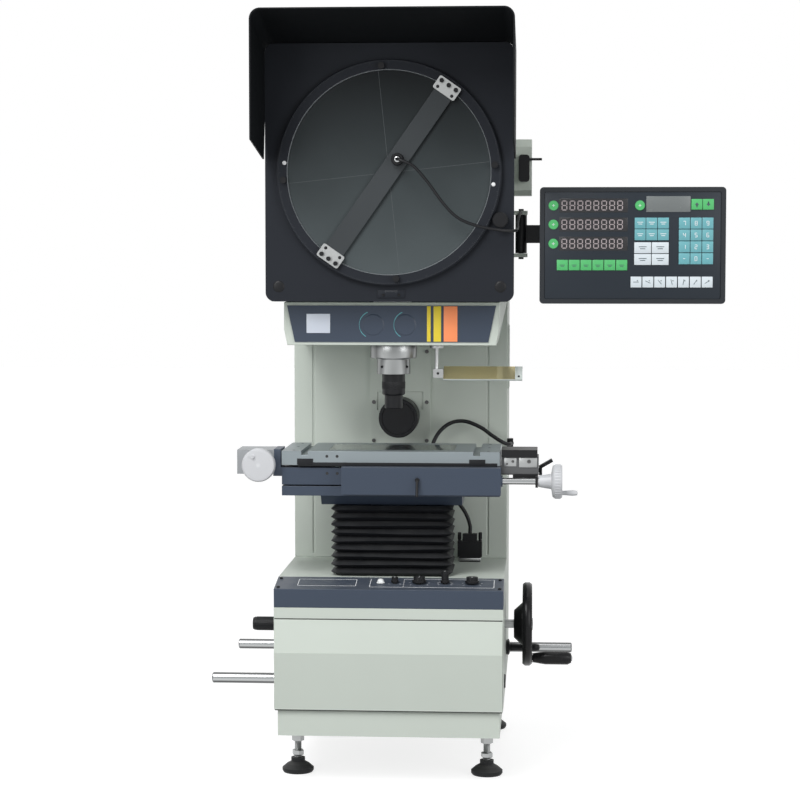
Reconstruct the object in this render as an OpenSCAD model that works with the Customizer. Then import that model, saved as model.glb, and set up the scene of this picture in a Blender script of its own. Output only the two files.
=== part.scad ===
/* [Base] */
// Width of the base and the column
base_w = 354; // [330:1:380]
// Depth of the base, front to back
base_d = 500; // [480:1:540]
// Height of the base's underside above the floor
base_z = 76; // [70:1:90]
// Height of the base housing
base_h = 240; // [232:1:260]
// Wall of the sheet metal housings
wall = 4; // [3:0.5:5]
// Depth of the control panel
panel_d = 62; // [56:1:66]
// Radius of a foot pad
pad_r = 25; // [20:1:30]
// How far a carrying rod stands out
rod_reach = 110; // [80:1:140]

/* [Column and head] */
// Distance from the base's front to the column's front
column_y = 290; // [285:1:300]
// Height of the column
column_h = 432; // [425:1:445]
// Width of the screen plate
plate_w = 382; // [374:1:400]
// Height of the screen plate and of the head
plate_h = 394; // [385:1:410]
// Distance from the base's front to the screen plate's front
plate_y = 27; // [20:1:34]
// How far the hood stands out of the screen plate
hood_reach = 160; // [120:1:190]
// Rise of the hood's roof towards the front
hood_rise = 33; // [20:1:45]
// Radius of the clear screen
screen_r = 156; // [150:1:158]

/* [Optics] */
// Distance from the base's front to the optical axis
axis_y = 125; // [120:1:130]
// Radius of the objective's barrel
barrel_r = 18.3; // [16:0.1:20]
// Radius of the surface light's tube
tube_r = 32; // [28:1:34]

/* [Stage] */
// Width of the stage
stage_w = 340; // [320:1:350]
// Depth of the stage
stage_d = 152; // [146:1:156]
// Height of the stage's top above the base's top
stage_up = 199; // [196:1:206]
// Radius of the stage handwheels
knob_r = 26; // [22:1:28]
// Radius of the lift column
lift_r = 36; // [34:0.5:37]

/* [Focus wheel] */
// Radius of the focus handwheel
wheel_r = 67; // [55:1:75]
// Module of the lift's rack and pinion
gear_m = 1.25; // [1:0.05:1.5]

/* [Readout] */
// Width of the digital readout
dro_w = 283; // [260:1:300]
// Height of the digital readout
dro_h = 178; // [160:1:200]
// Depth of the digital readout
dro_d = 50; // [40:1:60]

/* [Hidden] */
$fn = 72;
// Running clearance of round fits, and gap between sliding flat faces
run = 0.05;
slip = 0.3;
// Heights and places that follow from the driving sizes
base_top = base_z + base_h;
head_z = base_top + column_h;
screen_z = head_z + plate_h / 2;
head_top = head_z + plate_h;
plate_t = 6;
head_w = plate_w - 16;
stage_z = base_top + stage_up;
rear_y = base_d;
cover_bottom = head_z - 69;
lens_low = cover_bottom - 102;
light_z = stage_z + 38;
rack_teeth = 26;
gear_teeth = 12;
pitch_r = gear_m * gear_teeth / 2;
rack_face = axis_y + lift_r + 6;
shaft_y = rack_face + pitch_r;
shaft_z = base_top - 90;
dro_left = head_w / 2 + 47;
dro_right = dro_left + dro_w;
dro_z = screen_z - 111;
pivot_x = head_w / 2 + 18;
pivot_y = 100;
bar_angle = 55;
sensor_off = 24;
// The origin is under the middle of the whole object's box
mid_x = -(dro_right - base_w / 2 - rod_reach) / 2;
front_y = -(rear_y + 3 + plate_y - hood_reach) / 2;

// A box from its corner to its far corner
module span(a, b) {
    translate(a)
        cube(b - a);
}

// A profile in the YZ plane, extruded across the width and centred
module across(w) {
    translate([-w / 2, 0, 0])
        rotate([90, 0, 90])
            linear_extrude(w)
                children();
}

// A round piece about an axis along X, from x0, drawn as [radius, length] profile
module about_x(x0, y, z) {
    translate([x0, y, z])
        rotate([0, 90, 0])
            rotate_extrude()
                children();
}

// A round piece about an axis along Y, front first
module about_y(x, y0, z) {
    translate([x, y0, z])
        rotate([-90, 0, 0])
            rotate_extrude()
                children();
}

// A rectangle with rounded corners
module rounded(w, h, r) {
    union() {
        translate([-w / 2 + r, -h / 2])
            square([w - 2 * r, h]);
        translate([-w / 2, -h / 2 + r])
            square([w, h - 2 * r]);
        for (x = [-1, 1], y = [-1, 1])
            translate([x * (w / 2 - r), y * (h / 2 - r)])
                circle(r);
    }
}

// Base: a sheet metal housing on a recessed plinth, with a shelf in front for the control panel
plinth_h = 42;
plinth_in = 5;
shelf_drop = 39;
panel_z = base_top - shelf_drop;
rod_front_y = 95;
rod_rear_y = 396;
rod_z = base_z + 72;
rod_r = 8.5;
rod_in = 40;
left_knob_y = 250;
left_knob_z = base_z + 133;
lock_z = base_z + 98;

sleeve_h = 60;

// The hollow of the base, round the lift's guide sleeve that hangs from its top
module base_cavity() {
    difference() {
        across(base_w - 2 * (wall + plinth_in))
            polygon([[wall + plinth_in, base_z + wall], [rear_y - wall - plinth_in, base_z + wall],
                [rear_y - wall - plinth_in, base_top - wall], [panel_d + wall, base_top - wall],
                [panel_d + wall, panel_z - wall], [wall + plinth_in, panel_z - wall]]);
        translate([0, axis_y, base_top - wall - sleeve_h])
            cylinder(r = lift_r + 8, h = sleeve_h + 1);
    }
}

module base_housing() {
    color("gainsboro")
        difference() {
            union() {
                across(base_w)
                    polygon([[0, base_z + plinth_h], [rear_y, base_z + plinth_h], [rear_y, base_top],
                        [panel_d, base_top], [panel_d, panel_z], [0, panel_z]]);
                span([-base_w / 2 + plinth_in, plinth_in, base_z],
                    [base_w / 2 - plinth_in, rear_y - plinth_in, base_z + plinth_h]);
            }
            base_cavity();
            translate([0, axis_y, base_top - wall - sleeve_h - 1])
                cylinder(r = lift_r + run, h = sleeve_h + 2 * wall);
            span([-10, axis_y, base_top - wall - sleeve_h - 1], [10, rack_face + 2, base_top + 1]);
            for (x = [-1, 1], y = [rod_front_y, rod_rear_y])
                translate([x * (base_w / 2 - 2 * wall), y, rod_z])
                    rotate([0, 90, 0])
                        cylinder(r = rod_r + run, h = 4 * wall, center = true);
            translate([base_w / 2, shaft_y, shaft_z])
                rotate([0, 90, 0])
                    cylinder(r = shaft_r + run, h = 4 * wall + 20, center = true);
        }
}

// The bulged sheet that closes the base's front
panel_low = base_z + plinth_h;
bulge = 10;
sheet = 2.5;

module front_panel() {
    top = panel_z - 18;
    fold = panel_low + 90;
    color("gainsboro")
        across(base_w - 2)
            polygon([[0, panel_low], [-bulge, fold], [0, top], [0, top - sheet], [sheet - bulge, fold],
                [0, panel_low + sheet]]);
}

// Control panel: a sloping lid over the shelf, with holes for the spindles
lid_front = panel_z + 29;
knob_y = 34;
knob_xs = [for (from_end = [169, 131, 91, 49]) base_w / 2 - from_end];
spindle_r = 3;
lid_at_knobs = lid_front + (base_top - lid_front) * knob_y / panel_d;

module control_panel() {
    color("slategray")
        difference() {
            across(base_w)
                polygon([[0, panel_z], [panel_d, panel_z], [panel_d, base_top], [0, lid_front]]);
            across(base_w - 2 * wall)
                polygon([[wall, panel_z - 1], [panel_d - wall, panel_z - 1],
                    [panel_d - wall, base_top - wall - 0.5], [wall, lid_front - wall]]);
            for (x = knob_xs)
                translate([x, knob_y, panel_z])
                    cylinder(r = spindle_r + run, h = shelf_drop + 10);
        }
}

// A turned knob on its spindle: its skirt's radius and its height
knob_gap_z = 2;

module panel_knob(i, skirt, tall) {
    low = lid_at_knobs + knob_gap_z;
    color("black")
        translate([knob_xs[i], knob_y, 0])
            rotate_extrude()
                polygon([[0, panel_z + 8], [spindle_r, panel_z + 8], [spindle_r, low], [skirt, low],
                    [skirt, low + 3], [skirt * 0.8, low + 3.5], [skirt * 0.72, low + tall], [0, low + tall]]);
}

module power_knob() {
    panel_knob(0, 6, 8);
}

module contour_knob() {
    panel_knob(1, 11, 9);
}

module dimmer_knob() {
    panel_knob(2, 7, 18);
}

module surface_knob() {
    panel_knob(3, 11, 9);
}

// Levelling feet: a rubber dome, a threaded stud and a lock nut at each corner
foot_x = base_w / 2 - 27;
foot_ys = [90, rear_y - 70];
pad_h = 23;
stud_r = 5;
nut_z = base_z - 26;

module at_feet() {
    for (x = [-1, 1], y = foot_ys)
        translate([x * foot_x, y, 0])
            children();
}

module foot_pads() {
    color("black")
        at_feet()
            rotate_extrude()
                polygon([[0, 0], [pad_r - 2, 0], [pad_r, 3], [pad_r, 7], [pad_r * 0.72, 13], [pad_r * 0.44, 17],
                    [pad_r * 0.44, pad_h], [stud_r + run, pad_h], [stud_r + run, 8], [0, 8]]);
}

module foot_studs() {
    color("silver")
        at_feet() {
            translate([0, 0, 8])
                cylinder(r = stud_r, h = base_z - 8);
            translate([0, 0, nut_z])
                cylinder(r = 9.8, h = 8, $fn = 6);
        }
}

// Carrying rods: two on the left, one on the right
module carry_rods() {
    color("silver")
        for (p = [[-1, rod_front_y], [-1, rod_rear_y], [1, rod_rear_y]])
            translate([p[0] * (base_w / 2 - rod_in), p[1], rod_z])
                rotate([0, p[0] * 90, 0])
                    rotate_extrude()
                        polygon([[0, 0], [rod_r, 0], [rod_r, rod_in + rod_reach - 1.5],
                            [rod_r - 1.5, rod_in + rod_reach], [0, rod_in + rod_reach]]);
}

// Column: a hollow upright with two shadow grooves down its front and an opening for the surface light
groove_x = base_w / 2 - 32;
groove = 3;
side_plate_z = head_z - 150;

module column_shell() {
    color("whitesmoke")
        difference() {
            union() {
                span([-base_w / 2, column_y, base_top], [base_w / 2, rear_y, head_z]);
                span([base_w / 2, column_y + 12, side_plate_z], [base_w / 2 + 3, column_y + 60, side_plate_z + 105]);
            }
            span([-base_w / 2 + wall, column_y + wall, base_top + wall], [base_w / 2 - wall, rear_y - wall, head_z + 1]);
            for (x = [-1, 1])
                span([x * groove_x - groove / 2, column_y - 1, base_top + 6],
                    [x * groove_x + groove / 2, column_y + 2, cover_bottom - 6]);
            translate([0, column_y - 1, light_z])
                rotate([-90, 0, 0])
                    cylinder(r = tube_r + run, h = 2 * wall);
            span([-60, column_y - 1, head_z - 66], [60, column_y + 2 * wall, head_z + 1]);
            span([base_w / 2 - 1, column_y + 18, side_plate_z + 6],
                [base_w / 2 + 4, column_y + 54, side_plate_z + 48]);
            span([base_w / 2 - 1, column_y + 18, side_plate_z + 57],
                [base_w / 2 + 4, column_y + 54, side_plate_z + 99]);
        }
}

// Rear door of the column with two banks of cooling louvres
louvre_rows = 9;

module rear_cover() {
    color("gainsboro")
        difference() {
            span([-base_w / 2 + 18, rear_y, base_top + 20], [base_w / 2 - 18, rear_y + 3, head_z - 20]);
            for (i = [0 : louvre_rows - 1], x = [-1, 1], low = [base_top + 50, head_z - 180])
                span([x * 70 - 50, rear_y - 1, low + i * 14], [x * 70 + 50, rear_y + 4, low + i * 14 + 5]);
        }
}

// Lamp house on the base's floor, with cooling fins and a collector opening
lamp_y = axis_y + 190;

module lamp_house() {
    floor_z = base_z + wall;
    color("dimgray")
        difference() {
            union() {
                span([-45, lamp_y - 40, floor_z], [45, lamp_y + 60, floor_z + 80]);
                for (i = [0 : 6])
                    span([-55, lamp_y - 34 + i * 14, floor_z + 6], [55, lamp_y - 30 + i * 14, floor_z + 92]);
            }
            span([-38, lamp_y - 33, floor_z + 7], [38, lamp_y + 53, floor_z + 73]);
            translate([0, lamp_y - 50, floor_z + 40])
                rotate([-90, 0, 0])
                    cylinder(r = 22, h = 30);
        }
}

// Surface light: a plate on the column's front that holds a tube with a lens at its mouth
light_plate_w = 100;
light_plate_t = 6;
tube_front = 60;

module lens_plate() {
    color("gainsboro")
        difference() {
            span([-light_plate_w / 2, column_y - light_plate_t, stage_z - 12],
                [light_plate_w / 2, column_y, cover_bottom - 10]);
            translate([0, column_y - light_plate_t - 1, light_z])
                rotate([-90, 0, 0])
                    cylinder(r = tube_r + run, h = light_plate_t + 2);
            span([-tube_r - 6, column_y - light_plate_t - 1, light_z + tube_r * 0.3],
                [tube_r + 6, column_y - light_plate_t + 2, light_z + tube_r + 8]);
        }
}

module surface_light() {
    color("black")
        about_y(0, column_y - tube_front, light_z)
            polygon([[0, 2], [tube_r - 6, 2], [tube_r - 5, 0], [tube_r - 1, 0], [tube_r, 1],
                [tube_r, tube_front + 2 * wall], [0, tube_front + 2 * wall]]);
}

// Head: a closed box whose sloping back carries the large mirror
mirror_line = 440 + screen_z + 20;
throat_y = column_y + 10;

module head_profile(in) {
    polygon([[plate_y + plate_t, head_z + in], [rear_y - in, head_z + in],
        [rear_y - in, mirror_line - rear_y - in * 0.41],
        [mirror_line - head_top - in * 0.41, head_top - in], [plate_y + plate_t, head_top - in]]);
}

module head_shell() {
    color("whitesmoke")
        difference() {
            across(head_w)
                head_profile(0);
            across(head_w - 2 * wall)
                head_profile(wall);
            span([-70, throat_y, head_z - 1], [70, rear_y - wall, head_z + 2 * wall]);
            for (i = [0 : 5], x = [-1, 1])
                span([x * 70 - 45, rear_y - 2 * wall, head_z + 40 + i * 14],
                    [x * 70 + 45, rear_y + 1, head_z + 45 + i * 14]);
        }
}

// Screen plate: black front plate with the bore that the screen ring turns in
bore_r = screen_r + 8;
ring_r = screen_r + 16.5;
ring_t = 9;

module screen_plate() {
    color("black")
        translate([0, plate_y + plate_t, screen_z])
            rotate([90, 0, 0])
                difference() {
                    linear_extrude(plate_t)
                        rounded(plate_w, plate_h, 14);
                    translate([0, 0, -1])
                        cylinder(r = bore_r, h = plate_t + 2);
                    translate([knob_place[0], knob_place[1], -1])
                        cylinder(r = 4 + run, h = plate_t + 2);
                }
}

// Hood: one bent black sheet, with side cheeks that end beside the screen
hood_t = 2.5;
hood_w = plate_w + 2 * hood_t + 0.2;
cheek_h = 178;
hood_corner = 16;

module hood() {
    tilt = atan(hood_rise / hood_reach);
    front = plate_y - hood_reach;
    color("black")
        intersection() {
            translate([0, plate_y + plate_t, head_top + hood_t + 0.2])
                rotate([90 - tilt, 0, 0])
                    translate([0, -200, -20])
                        linear_extrude(hood_reach + 80)
                            difference() {
                                translate([0, -hood_w / 2 + 200])
                                    rounded(hood_w, hood_w, hood_corner);
                                translate([0, -hood_w / 2 + 200 - hood_t])
                                    rounded(hood_w - 2 * hood_t, hood_w, hood_corner - hood_t);
                            }
            across(hood_w + 2)
                polygon([[plate_y + plate_t, head_top - cheek_h], [plate_y, head_top - cheek_h],
                    [front, head_top - cheek_h + 24], [front, head_top + hood_rise + 40],
                    [plate_y + plate_t, head_top + 60]]);
        }
}

// Front cover: a hopper under the head, wider at its top and back
cover_front = 72;
cover_top_in = 9;
cover_low_in = 23;

module cover_body(in) {
    top = base_w / 2 - in;
    intersection() {
        translate([0, column_y, 0])
            rotate([90, 0, 0])
                linear_extrude(column_y - cover_front - in)
                    polygon([[-top, head_z - 2 + in], [top, head_z - 2 + in],
                        [top - 14, cover_bottom + in], [-top + 14, cover_bottom + in]]);
        translate([0, 0, cover_bottom - 10])
            linear_extrude(120)
                polygon([[-top, column_y], [top, column_y], [top - cover_top_in, cover_front],
                    [-top + cover_top_in, cover_front]]);
    }
}

module front_cover() {
    color("whitesmoke")
        difference() {
            cover_body(0);
            cover_body(wall);
            translate([0, axis_y, cover_bottom - 1])
                cylinder(r = barrel_r + 4, h = 2 * wall);
            translate([arm_x, arm_y, cover_bottom - 1])
                cylinder(r = arm_r + run, h = 2 * wall);
        }
}

// Fascia: the coloured panel inlaid in the cover's front, with two round blanking caps
fascia_in = 5;
fascia_t = 1.6;

module cover_fascia() {
    top = base_w / 2 - cover_top_in - fascia_in;
    low = top - 12;
    color("slategray")
        union() {
            translate([0, cover_front, 0])
                rotate([90, 0, 0])
                    linear_extrude(fascia_t)
                        polygon([[-top, head_z - 2 - fascia_in], [top, head_z - 2 - fascia_in],
                            [low, cover_bottom + fascia_in], [-low, cover_bottom + fascia_in]]);
            for (x = [-28, 22])
                about_y(x, cover_front - fascia_t - 1, head_z - 37)
                    polygon([[0, 0], [15, 0], [17, 1], [0, 1]]);
        }
}

// Objective: a bright mount under the cover, the black barrel in it, and its front lens
module lens_mount() {
    color("silver")
        translate([0, axis_y, 0])
            rotate_extrude()
                polygon([[barrel_r + run, cover_bottom - 47], [26.5, cover_bottom - 47], [26.5, cover_bottom - 24],
                    [28, cover_bottom - 22], [36, cover_bottom - 22], [37, cover_bottom - 20],
                    [37, cover_bottom], [barrel_r + run, cover_bottom]]);
}

module objective() {
    nose_r = barrel_r - 4;
    color("black")
        translate([0, axis_y, lens_low])
            rotate_extrude()
                polygon([[0, 4], [nose_r * 0.5, 3], [nose_r - 2.5, 2], [nose_r - 2.5, 0], [nose_r - 1, 0], [nose_r, 1],
                    [nose_r, 21], [barrel_r - 1, 22], [barrel_r, 24], [barrel_r, 84], [0, 84]]);
}

// Folding mirrors: over the objective, low at the back, and under the head's sloping roof
mirror_t = 6;
low_beam = head_z - 36;
back_beam = 440;

module mirror_plate(y, z, turn, w, l) {
    translate([-w / 2, y, z])
        rotate([turn, 0, 0])
            translate([0, -l / 2, 0])
                cube([w, l, mirror_t]);
}

module mirrors() {
    color("lightsteelblue") {
        mirror_plate(axis_y, low_beam, 45, 70, 70);
        mirror_plate(back_beam, low_beam, 45, 130, 130);
        mirror_plate(back_beam, screen_z, 135, 250, 148);
    }
}

// Cast wedges that carry the mirrors
module brackets() {
    edge = mirror_t * sqrt(2);
    roof = mirror_line - wall * sqrt(2);
    color("dimgray") {
        across(60)
            polygon([[axis_y - 25, low_beam - 25 + edge], [axis_y + 36 - edge, low_beam + 36],
                [axis_y - 25, low_beam + 36]]);
        across(120)
            polygon([[back_beam - 44, low_beam - 44], [back_beam + 44, low_beam + 44],
                [rear_y - wall, low_beam + 44], [rear_y - wall, low_beam - 44]]);
        for (x = [-90, 90])
            translate([x, 0, 0])
                across(24)
                    polygon([[back_beam + 36, screen_z - 36], [roof - (screen_z - 36), screen_z - 36],
                        [roof - (screen_z + 50), screen_z + 50], [back_beam - 50, screen_z + 50]]);
    }
}

module fold_mirrors() {
    mirrors();
    brackets();
}

// Angle encoder on the head's right side, and the clamp that locks the screen
box_y = 130;
box_z = screen_z - 32;

module encoder_box() {
    color("whitesmoke")
        difference() {
            translate([head_w / 2, box_y, 0])
                rotate([90, 0, 90])
                    linear_extrude(34)
                        polygon([[0, box_z + 8], [10, box_z], [56, box_z], [60, box_z + 4], [60, box_z + 88],
                            [12, box_z + 88], [0, box_z + 76]]);
            translate([head_w / 2 + 22, box_y - 1, box_z + 42])
                rotate([-90, 0, 0])
                    cylinder(r = 4 + run, h = 12);
        }
}

module screen_clamp() {
    color("black")
        union() {
            translate([head_w / 2 + 22, box_y - slip, box_z + 42])
                rotate([90, 0, 0])
                    linear_extrude(16)
                        rounded(17, 42, 5);
            translate([head_w / 2 + 22, box_y - 8, box_z + 42])
                rotate([-90, 0, 0])
                    cylinder(r = 4, h = 18);
            translate([head_w / 2 + 28, box_y - 8, box_z + 56])
                rotate([0, 90, 0])
                    cylinder(r = 2, h = 22);
        }
}

// Readout: a forked arm on the head, a hinge block on an upright pin, and the flat case
arm_low = dro_z - 18;
arm_high = dro_z + 54;
pin_r = 4;

module dro_arm() {
    color("gainsboro")
        difference() {
            union() {
                span([head_w / 2, pivot_y - 16, arm_low], [head_w / 2 + 4, pivot_y + 16, arm_high]);
                for (z = [arm_low, arm_high - 6])
                    span([head_w / 2 + 3, pivot_y - 12, z], [pivot_x + 10, pivot_y + 12, z + 6]);
            }
            translate([pivot_x, pivot_y, arm_low - 1])
                cylinder(r = pin_r + run, h = arm_high - arm_low + 2);
        }
}

module dro_hinge() {
    color("dimgray")
        union() {
            translate([pivot_x, pivot_y, arm_low - 3])
                cylinder(r = pin_r, h = arm_high - arm_low + 6);
            translate([pivot_x, pivot_y, arm_low + 6 + slip])
                cylinder(r = 9, h = arm_high - arm_low - 12 - 2 * slip);
            span([pivot_x, pivot_y - 5, arm_low + 22], [dro_left + 40, pivot_y + 5, arm_high - 22]);
            span([dro_left + 8, pivot_y - 10, arm_low + 10], [dro_left + 48, pivot_y - 4, arm_high - 10]);
        }
}

case_y = pivot_y - 10 - dro_d;

module dro_case() {
    color("darkslategray")
        translate([dro_left + dro_w / 2, case_y + dro_d, dro_z])
            rotate([90, 0, 0])
                difference() {
                    union() {
                        linear_extrude(dro_d - 6)
                            rounded(dro_w - 6, dro_h - 6, 6);
                        translate([0, 0, dro_d - 16])
                            linear_extrude(16)
                                rounded(dro_w, dro_h, 6);
                    }
                    translate([0, 0, dro_d - 2])
                        linear_extrude(3)
                            rounded(dro_w - 14, dro_h - 14, 3);
                }
}

// Plug of the scale lead on the base's top, and the lead's gland on the column's side
plug_x = 117;
plug_y = 250;
gland_z = stage_z - 7;

module connectors() {
    color("black")
        translate([plug_x, plug_y, base_top]) {
            span([-17, -7, 0], [17, 7, 8]);
            span([-20, -8, 8], [20, 8, 34]);
            span([-12, -7, 34], [12, 7, 46]);
            for (s = [-17, 17])
                translate([s, 0, 33])
                    cylinder(r = 2.6, h = 15);
        }
    color("black")
        translate([base_w / 2, column_y, gland_z]) {
            span([0, 4, -7], [10, 22, 7]);
            translate([6, 4, 0])
                rotate([90, 0, 0])
                    cylinder(r = 5, h = 4);
        }
}

// Lift column: a hollow ram with a rack down its back and the saddle on its top
tooth = PI * gear_m;
rack_below = 11;
rack_low = shaft_z - (rack_below + 1) * tooth;

module lift_column() {
    ram_low = base_top - 140;
    color("silver")
        difference() {
            union() {
                translate([0, axis_y, ram_low])
                    cylinder(r = lift_r, h = saddle_z + 1 - ram_low);
                saddle();
                span([-7, axis_y + lift_r - 6, rack_low], [7, rack_face - 1.25 * gear_m, rack_low + (rack_teeth + 1) * tooth]);
                for (i = [0 : rack_teeth - 1])
                    across(14)
                        translate([rack_face, shaft_z + (i - rack_below) * tooth - tooth / 2])
                            polygon([[-1.3 * gear_m, -0.7 * gear_m], [gear_m * 0.9, -0.3 * gear_m],
                                [gear_m * 0.9, 0.3 * gear_m], [-1.3 * gear_m, 0.7 * gear_m]]);
            }
            translate([0, axis_y, ram_low - 1])
                cylinder(r = lift_r - 8, h = slide_z - ram_low + 2);
        }
}

// Stage: saddle, base slide, carriage and table, stacked on the ram
table_t = 22;
carriage_z = stage_z - 53;
carriage_top = stage_z - 26;
slide_z = stage_z - 70;
slide_top = carriage_z - 2;
saddle_z = slide_z - 17;
rail_h = 6;
rail_end = 30;
table_hollow = 8;
block_y = 52;
block_d = stage_d - 6;
light_w = 196;
light_d = 96;

module light_hole(low, high) {
    span([-light_w / 2 + 40, axis_y - light_d / 2 + 14, low], [light_w / 2 - 40, axis_y + light_d / 2 - 14, high]);
}

module saddle() {
    across(222)
        polygon([[axis_y - 42, saddle_z], [axis_y + 42, saddle_z], [axis_y + 56, slide_z], [axis_y - 56, slide_z]]);
}

module stage_base() {
    color("slategray")
        difference() {
            union() {
                span([-stage_w / 2, block_y - slip, slide_z], [stage_w / 2, block_y + block_d, slide_top]);
                for (y = [block_y + 24, block_y + block_d - 24])
                    span([-stage_w / 2 + 20, y - 6, slide_top - 1], [stage_w / 2 - 20, y + 6, slide_top + rail_h]);
            }
            light_hole(slide_z - 1, slide_top + 1);
        }
}

module x_carriage() {
    color("slategray")
        difference() {
            union() {
                span([-stage_w / 2, block_y, carriage_z], [stage_w / 2, block_y + block_d, carriage_top]);
                for (x = [-1, 1])
                    span([x * 126 - 8, block_y + rail_end, carriage_top - 1],
                        [x * 126 + 8, block_y + block_d - rail_end, stage_z - table_t + table_hollow - slip]);
            }
            for (y = [block_y + 24, block_y + block_d - 24])
                span([-stage_w / 2 - 1, y - 6 - slip, carriage_z - 1],
                    [stage_w / 2 + 1, y + 6 + slip, slide_top + rail_h + slip]);
            light_hole(carriage_z - 1, carriage_top + 1);
        }
}

module stage_plate() {
    y0 = axis_y - stage_d / 2;
    low = stage_z - table_t;
    color("silver")
        difference() {
            span([-stage_w / 2, y0, low], [stage_w / 2, y0 + stage_d, stage_z]);
            span([-stage_w / 2 + 14, y0 + 5, low - 1], [stage_w / 2 - 14, y0 + stage_d - 5, low + table_hollow]);
            span([-light_w / 2, axis_y - light_d / 2, stage_z - 5], [light_w / 2, axis_y + light_d / 2, stage_z + 1]);
            span([-light_w / 2 + 8, axis_y - light_d / 2 + 8, low], [light_w / 2 - 8, axis_y + light_d / 2 - 8, stage_z]);
            for (x = [-1, 1])
                span([x * 134 - 5, y0 - 1, stage_z - 6], [x * 134 + 5, y0 + stage_d + 1, stage_z + 1]);
        }
}

module stage_glass() {
    color("lightblue")
        span([-light_w / 2 + 0.2, axis_y - light_d / 2 + 0.2, stage_z - 5],
            [light_w / 2 - 0.2, axis_y + light_d / 2 - 0.2, stage_z]);
}

module condenser_lens() {
    r = lift_r - 8 - run;
    color("lightblue")
        translate([0, axis_y, saddle_z - 8])
            rotate_extrude()
                polygon([[0, 0], [r, 0], [r, 6], [r * 0.7, 10], [r * 0.35, 12], [0, 12.5]]);
}

// Scale cover: a hollow guard in front of the slides, with the bush of the feed rod
cover_left = -75;
cover_right = stage_w / 2 + 2;
rod_y = block_y - 11;
feed_z = carriage_z + 9;
feed_r = 5.2;
cover_boss = 2.6;

module scale_cover() {
    low = slide_z + 4;
    high = carriage_top + 3;
    color("slategray")
        difference() {
            union() {
                span([cover_left, block_y - 22, low], [cover_right, block_y - slip, high]);
                translate([cover_right, rod_y, feed_z])
                    rotate([0, 90, 0])
                        cylinder(r = feed_r + 4, h = cover_boss);
            }
            span([cover_left + 2.5, block_y - 19.5, low + 2.5], [cover_right - 2.5, block_y - 2.5, high - 2.5]);
            translate([cover_right - 10, rod_y, feed_z])
                rotate([0, 90, 0])
                    cylinder(r = feed_r + run, h = 20);
            translate([lever_x, block_y - 25, feed_z + 2])
                rotate([-90, 0, 0])
                    cylinder(r = 2 + run, h = 8);
        }
}

// Small clamp lever that hangs on the cover's front
lever_x = 43;

module scale_lever() {
    y = block_y - 22 - slip;
    color("black")
        union() {
            translate([lever_x, y - 5, feed_z + 2])
                rotate([-90, 0, 0])
                    cylinder(r = 3.4, h = 5);
            translate([lever_x, y - 1, feed_z + 2])
                rotate([-90, 0, 0])
                    cylinder(r = 2, h = 5);
            translate([lever_x, y - 2.5, feed_z + 2])
                rotate([158, 0, 0])
                    cylinder(r = 2.2, h = 27);
        }
}

// Bellows: pleated rubber between the base's top and the saddle
bellows_low = base_top;
pleats = 11;
bellows_x = 97;
bellows_y = 58;
pleat_in = 9;

// A zigzag outline of the folds, as seen from one side
function folds(half, h) = concat(
    [for (i = [0 : 2 * pleats]) [half - (i % 2 == 0 ? pleat_in : 0), bellows_low + i * h]],
    [for (i = [2 * pleats : -1 : 0]) [-half + (i % 2 == 0 ? pleat_in : 0), bellows_low + i * h]]);

module bellows() {
    h = (saddle_z - slip - bellows_low) / pleats / 2;
    color("black")
        translate([0, axis_y, 0])
            difference() {
                intersection() {
                    across(2 * bellows_x)
                        polygon(folds(bellows_y, h));
                    translate([0, bellows_y, 0])
                        rotate([90, 0, 0])
                            linear_extrude(2 * bellows_y)
                                polygon(folds(bellows_x, h));
                }
                span([-bellows_x + pleat_in + 2, -bellows_y + pleat_in + 2, bellows_low - 1],
                    [bellows_x - pleat_in - 2, bellows_y - pleat_in - 2, saddle_z]);
            }
}

// Cross feed on the right: a bracket, a feed rod, a handwheel and a quick release lever
head_x = stage_w / 2;
ear_x = head_x + 55;

module drive_head() {
    color("silver")
        difference() {
            union() {
                span([head_x, 60, carriage_top - 10], [head_x + 60, 110, carriage_top - slip]);
                span([head_x + 2, 60, carriage_top - 1], [head_x + 60, 110, stage_z - 8]);
                span([head_x + 2, 56, stage_z - 8], [head_x + 58, 116, stage_z + 3]);
                span([head_x + 20, block_y + slip, carriage_top - 16], [head_x + 59, 112, carriage_top - 9]);
                span([ear_x, rod_y - 9, feed_z - 9], [ear_x + 4, rod_y + 18, carriage_top - 10]);
            }
            translate([ear_x - 1, rod_y, feed_z])
                rotate([0, 90, 0])
                    cylinder(r = feed_r + run, h = 6);
            translate([head_x + 50, 85, carriage_top - 5])
                rotate([0, 90, 0])
                    cylinder(r = 3 + run, h = 20);
        }
}

module release_lever() {
    x = head_x + 60 + slip;
    color("black")
        union() {
            translate([x - 9, 85, carriage_top - 5])
                rotate([0, 90, 0])
                    cylinder(r = 3, h = 12);
            translate([x, 85, carriage_top - 5])
                rotate([0, 60, 0])
                    translate([-6, -7, 5])
                        cube([5, 14, 21]);
            translate([x, 85, carriage_top - 5])
                rotate([0, 90, 0])
                    cylinder(r = 8, h = 5);
        }
}

module x_rod() {
    color("silver")
        translate([0, rod_y, feed_z])
            rotate([0, 90, 0])
                cylinder(r = feed_r, h = ear_x + 6);
}

// A dished handwheel with a crank pin, drawn along +Z from its hub
module handwheel(r) {
    union() {
        rotate_extrude()
            polygon([[0, 0], [r * 0.32, 0], [r * 0.36, 4], [r * 0.46, 20], [r * 0.9, 22], [r, 25], [r, 35],
                [r * 0.94, 37], [r * 0.8, 37], [r * 0.72, 34], [r * 0.3, 34], [r * 0.26, 37], [0, 37]]);
        translate([0, -r * 0.68, 33])
            rotate_extrude()
                polygon([[0, 0], [4.2, 0], [3.4, 6], [4.4, 20], [3.6, 27], [0, 28]]);
    }
}

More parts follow.
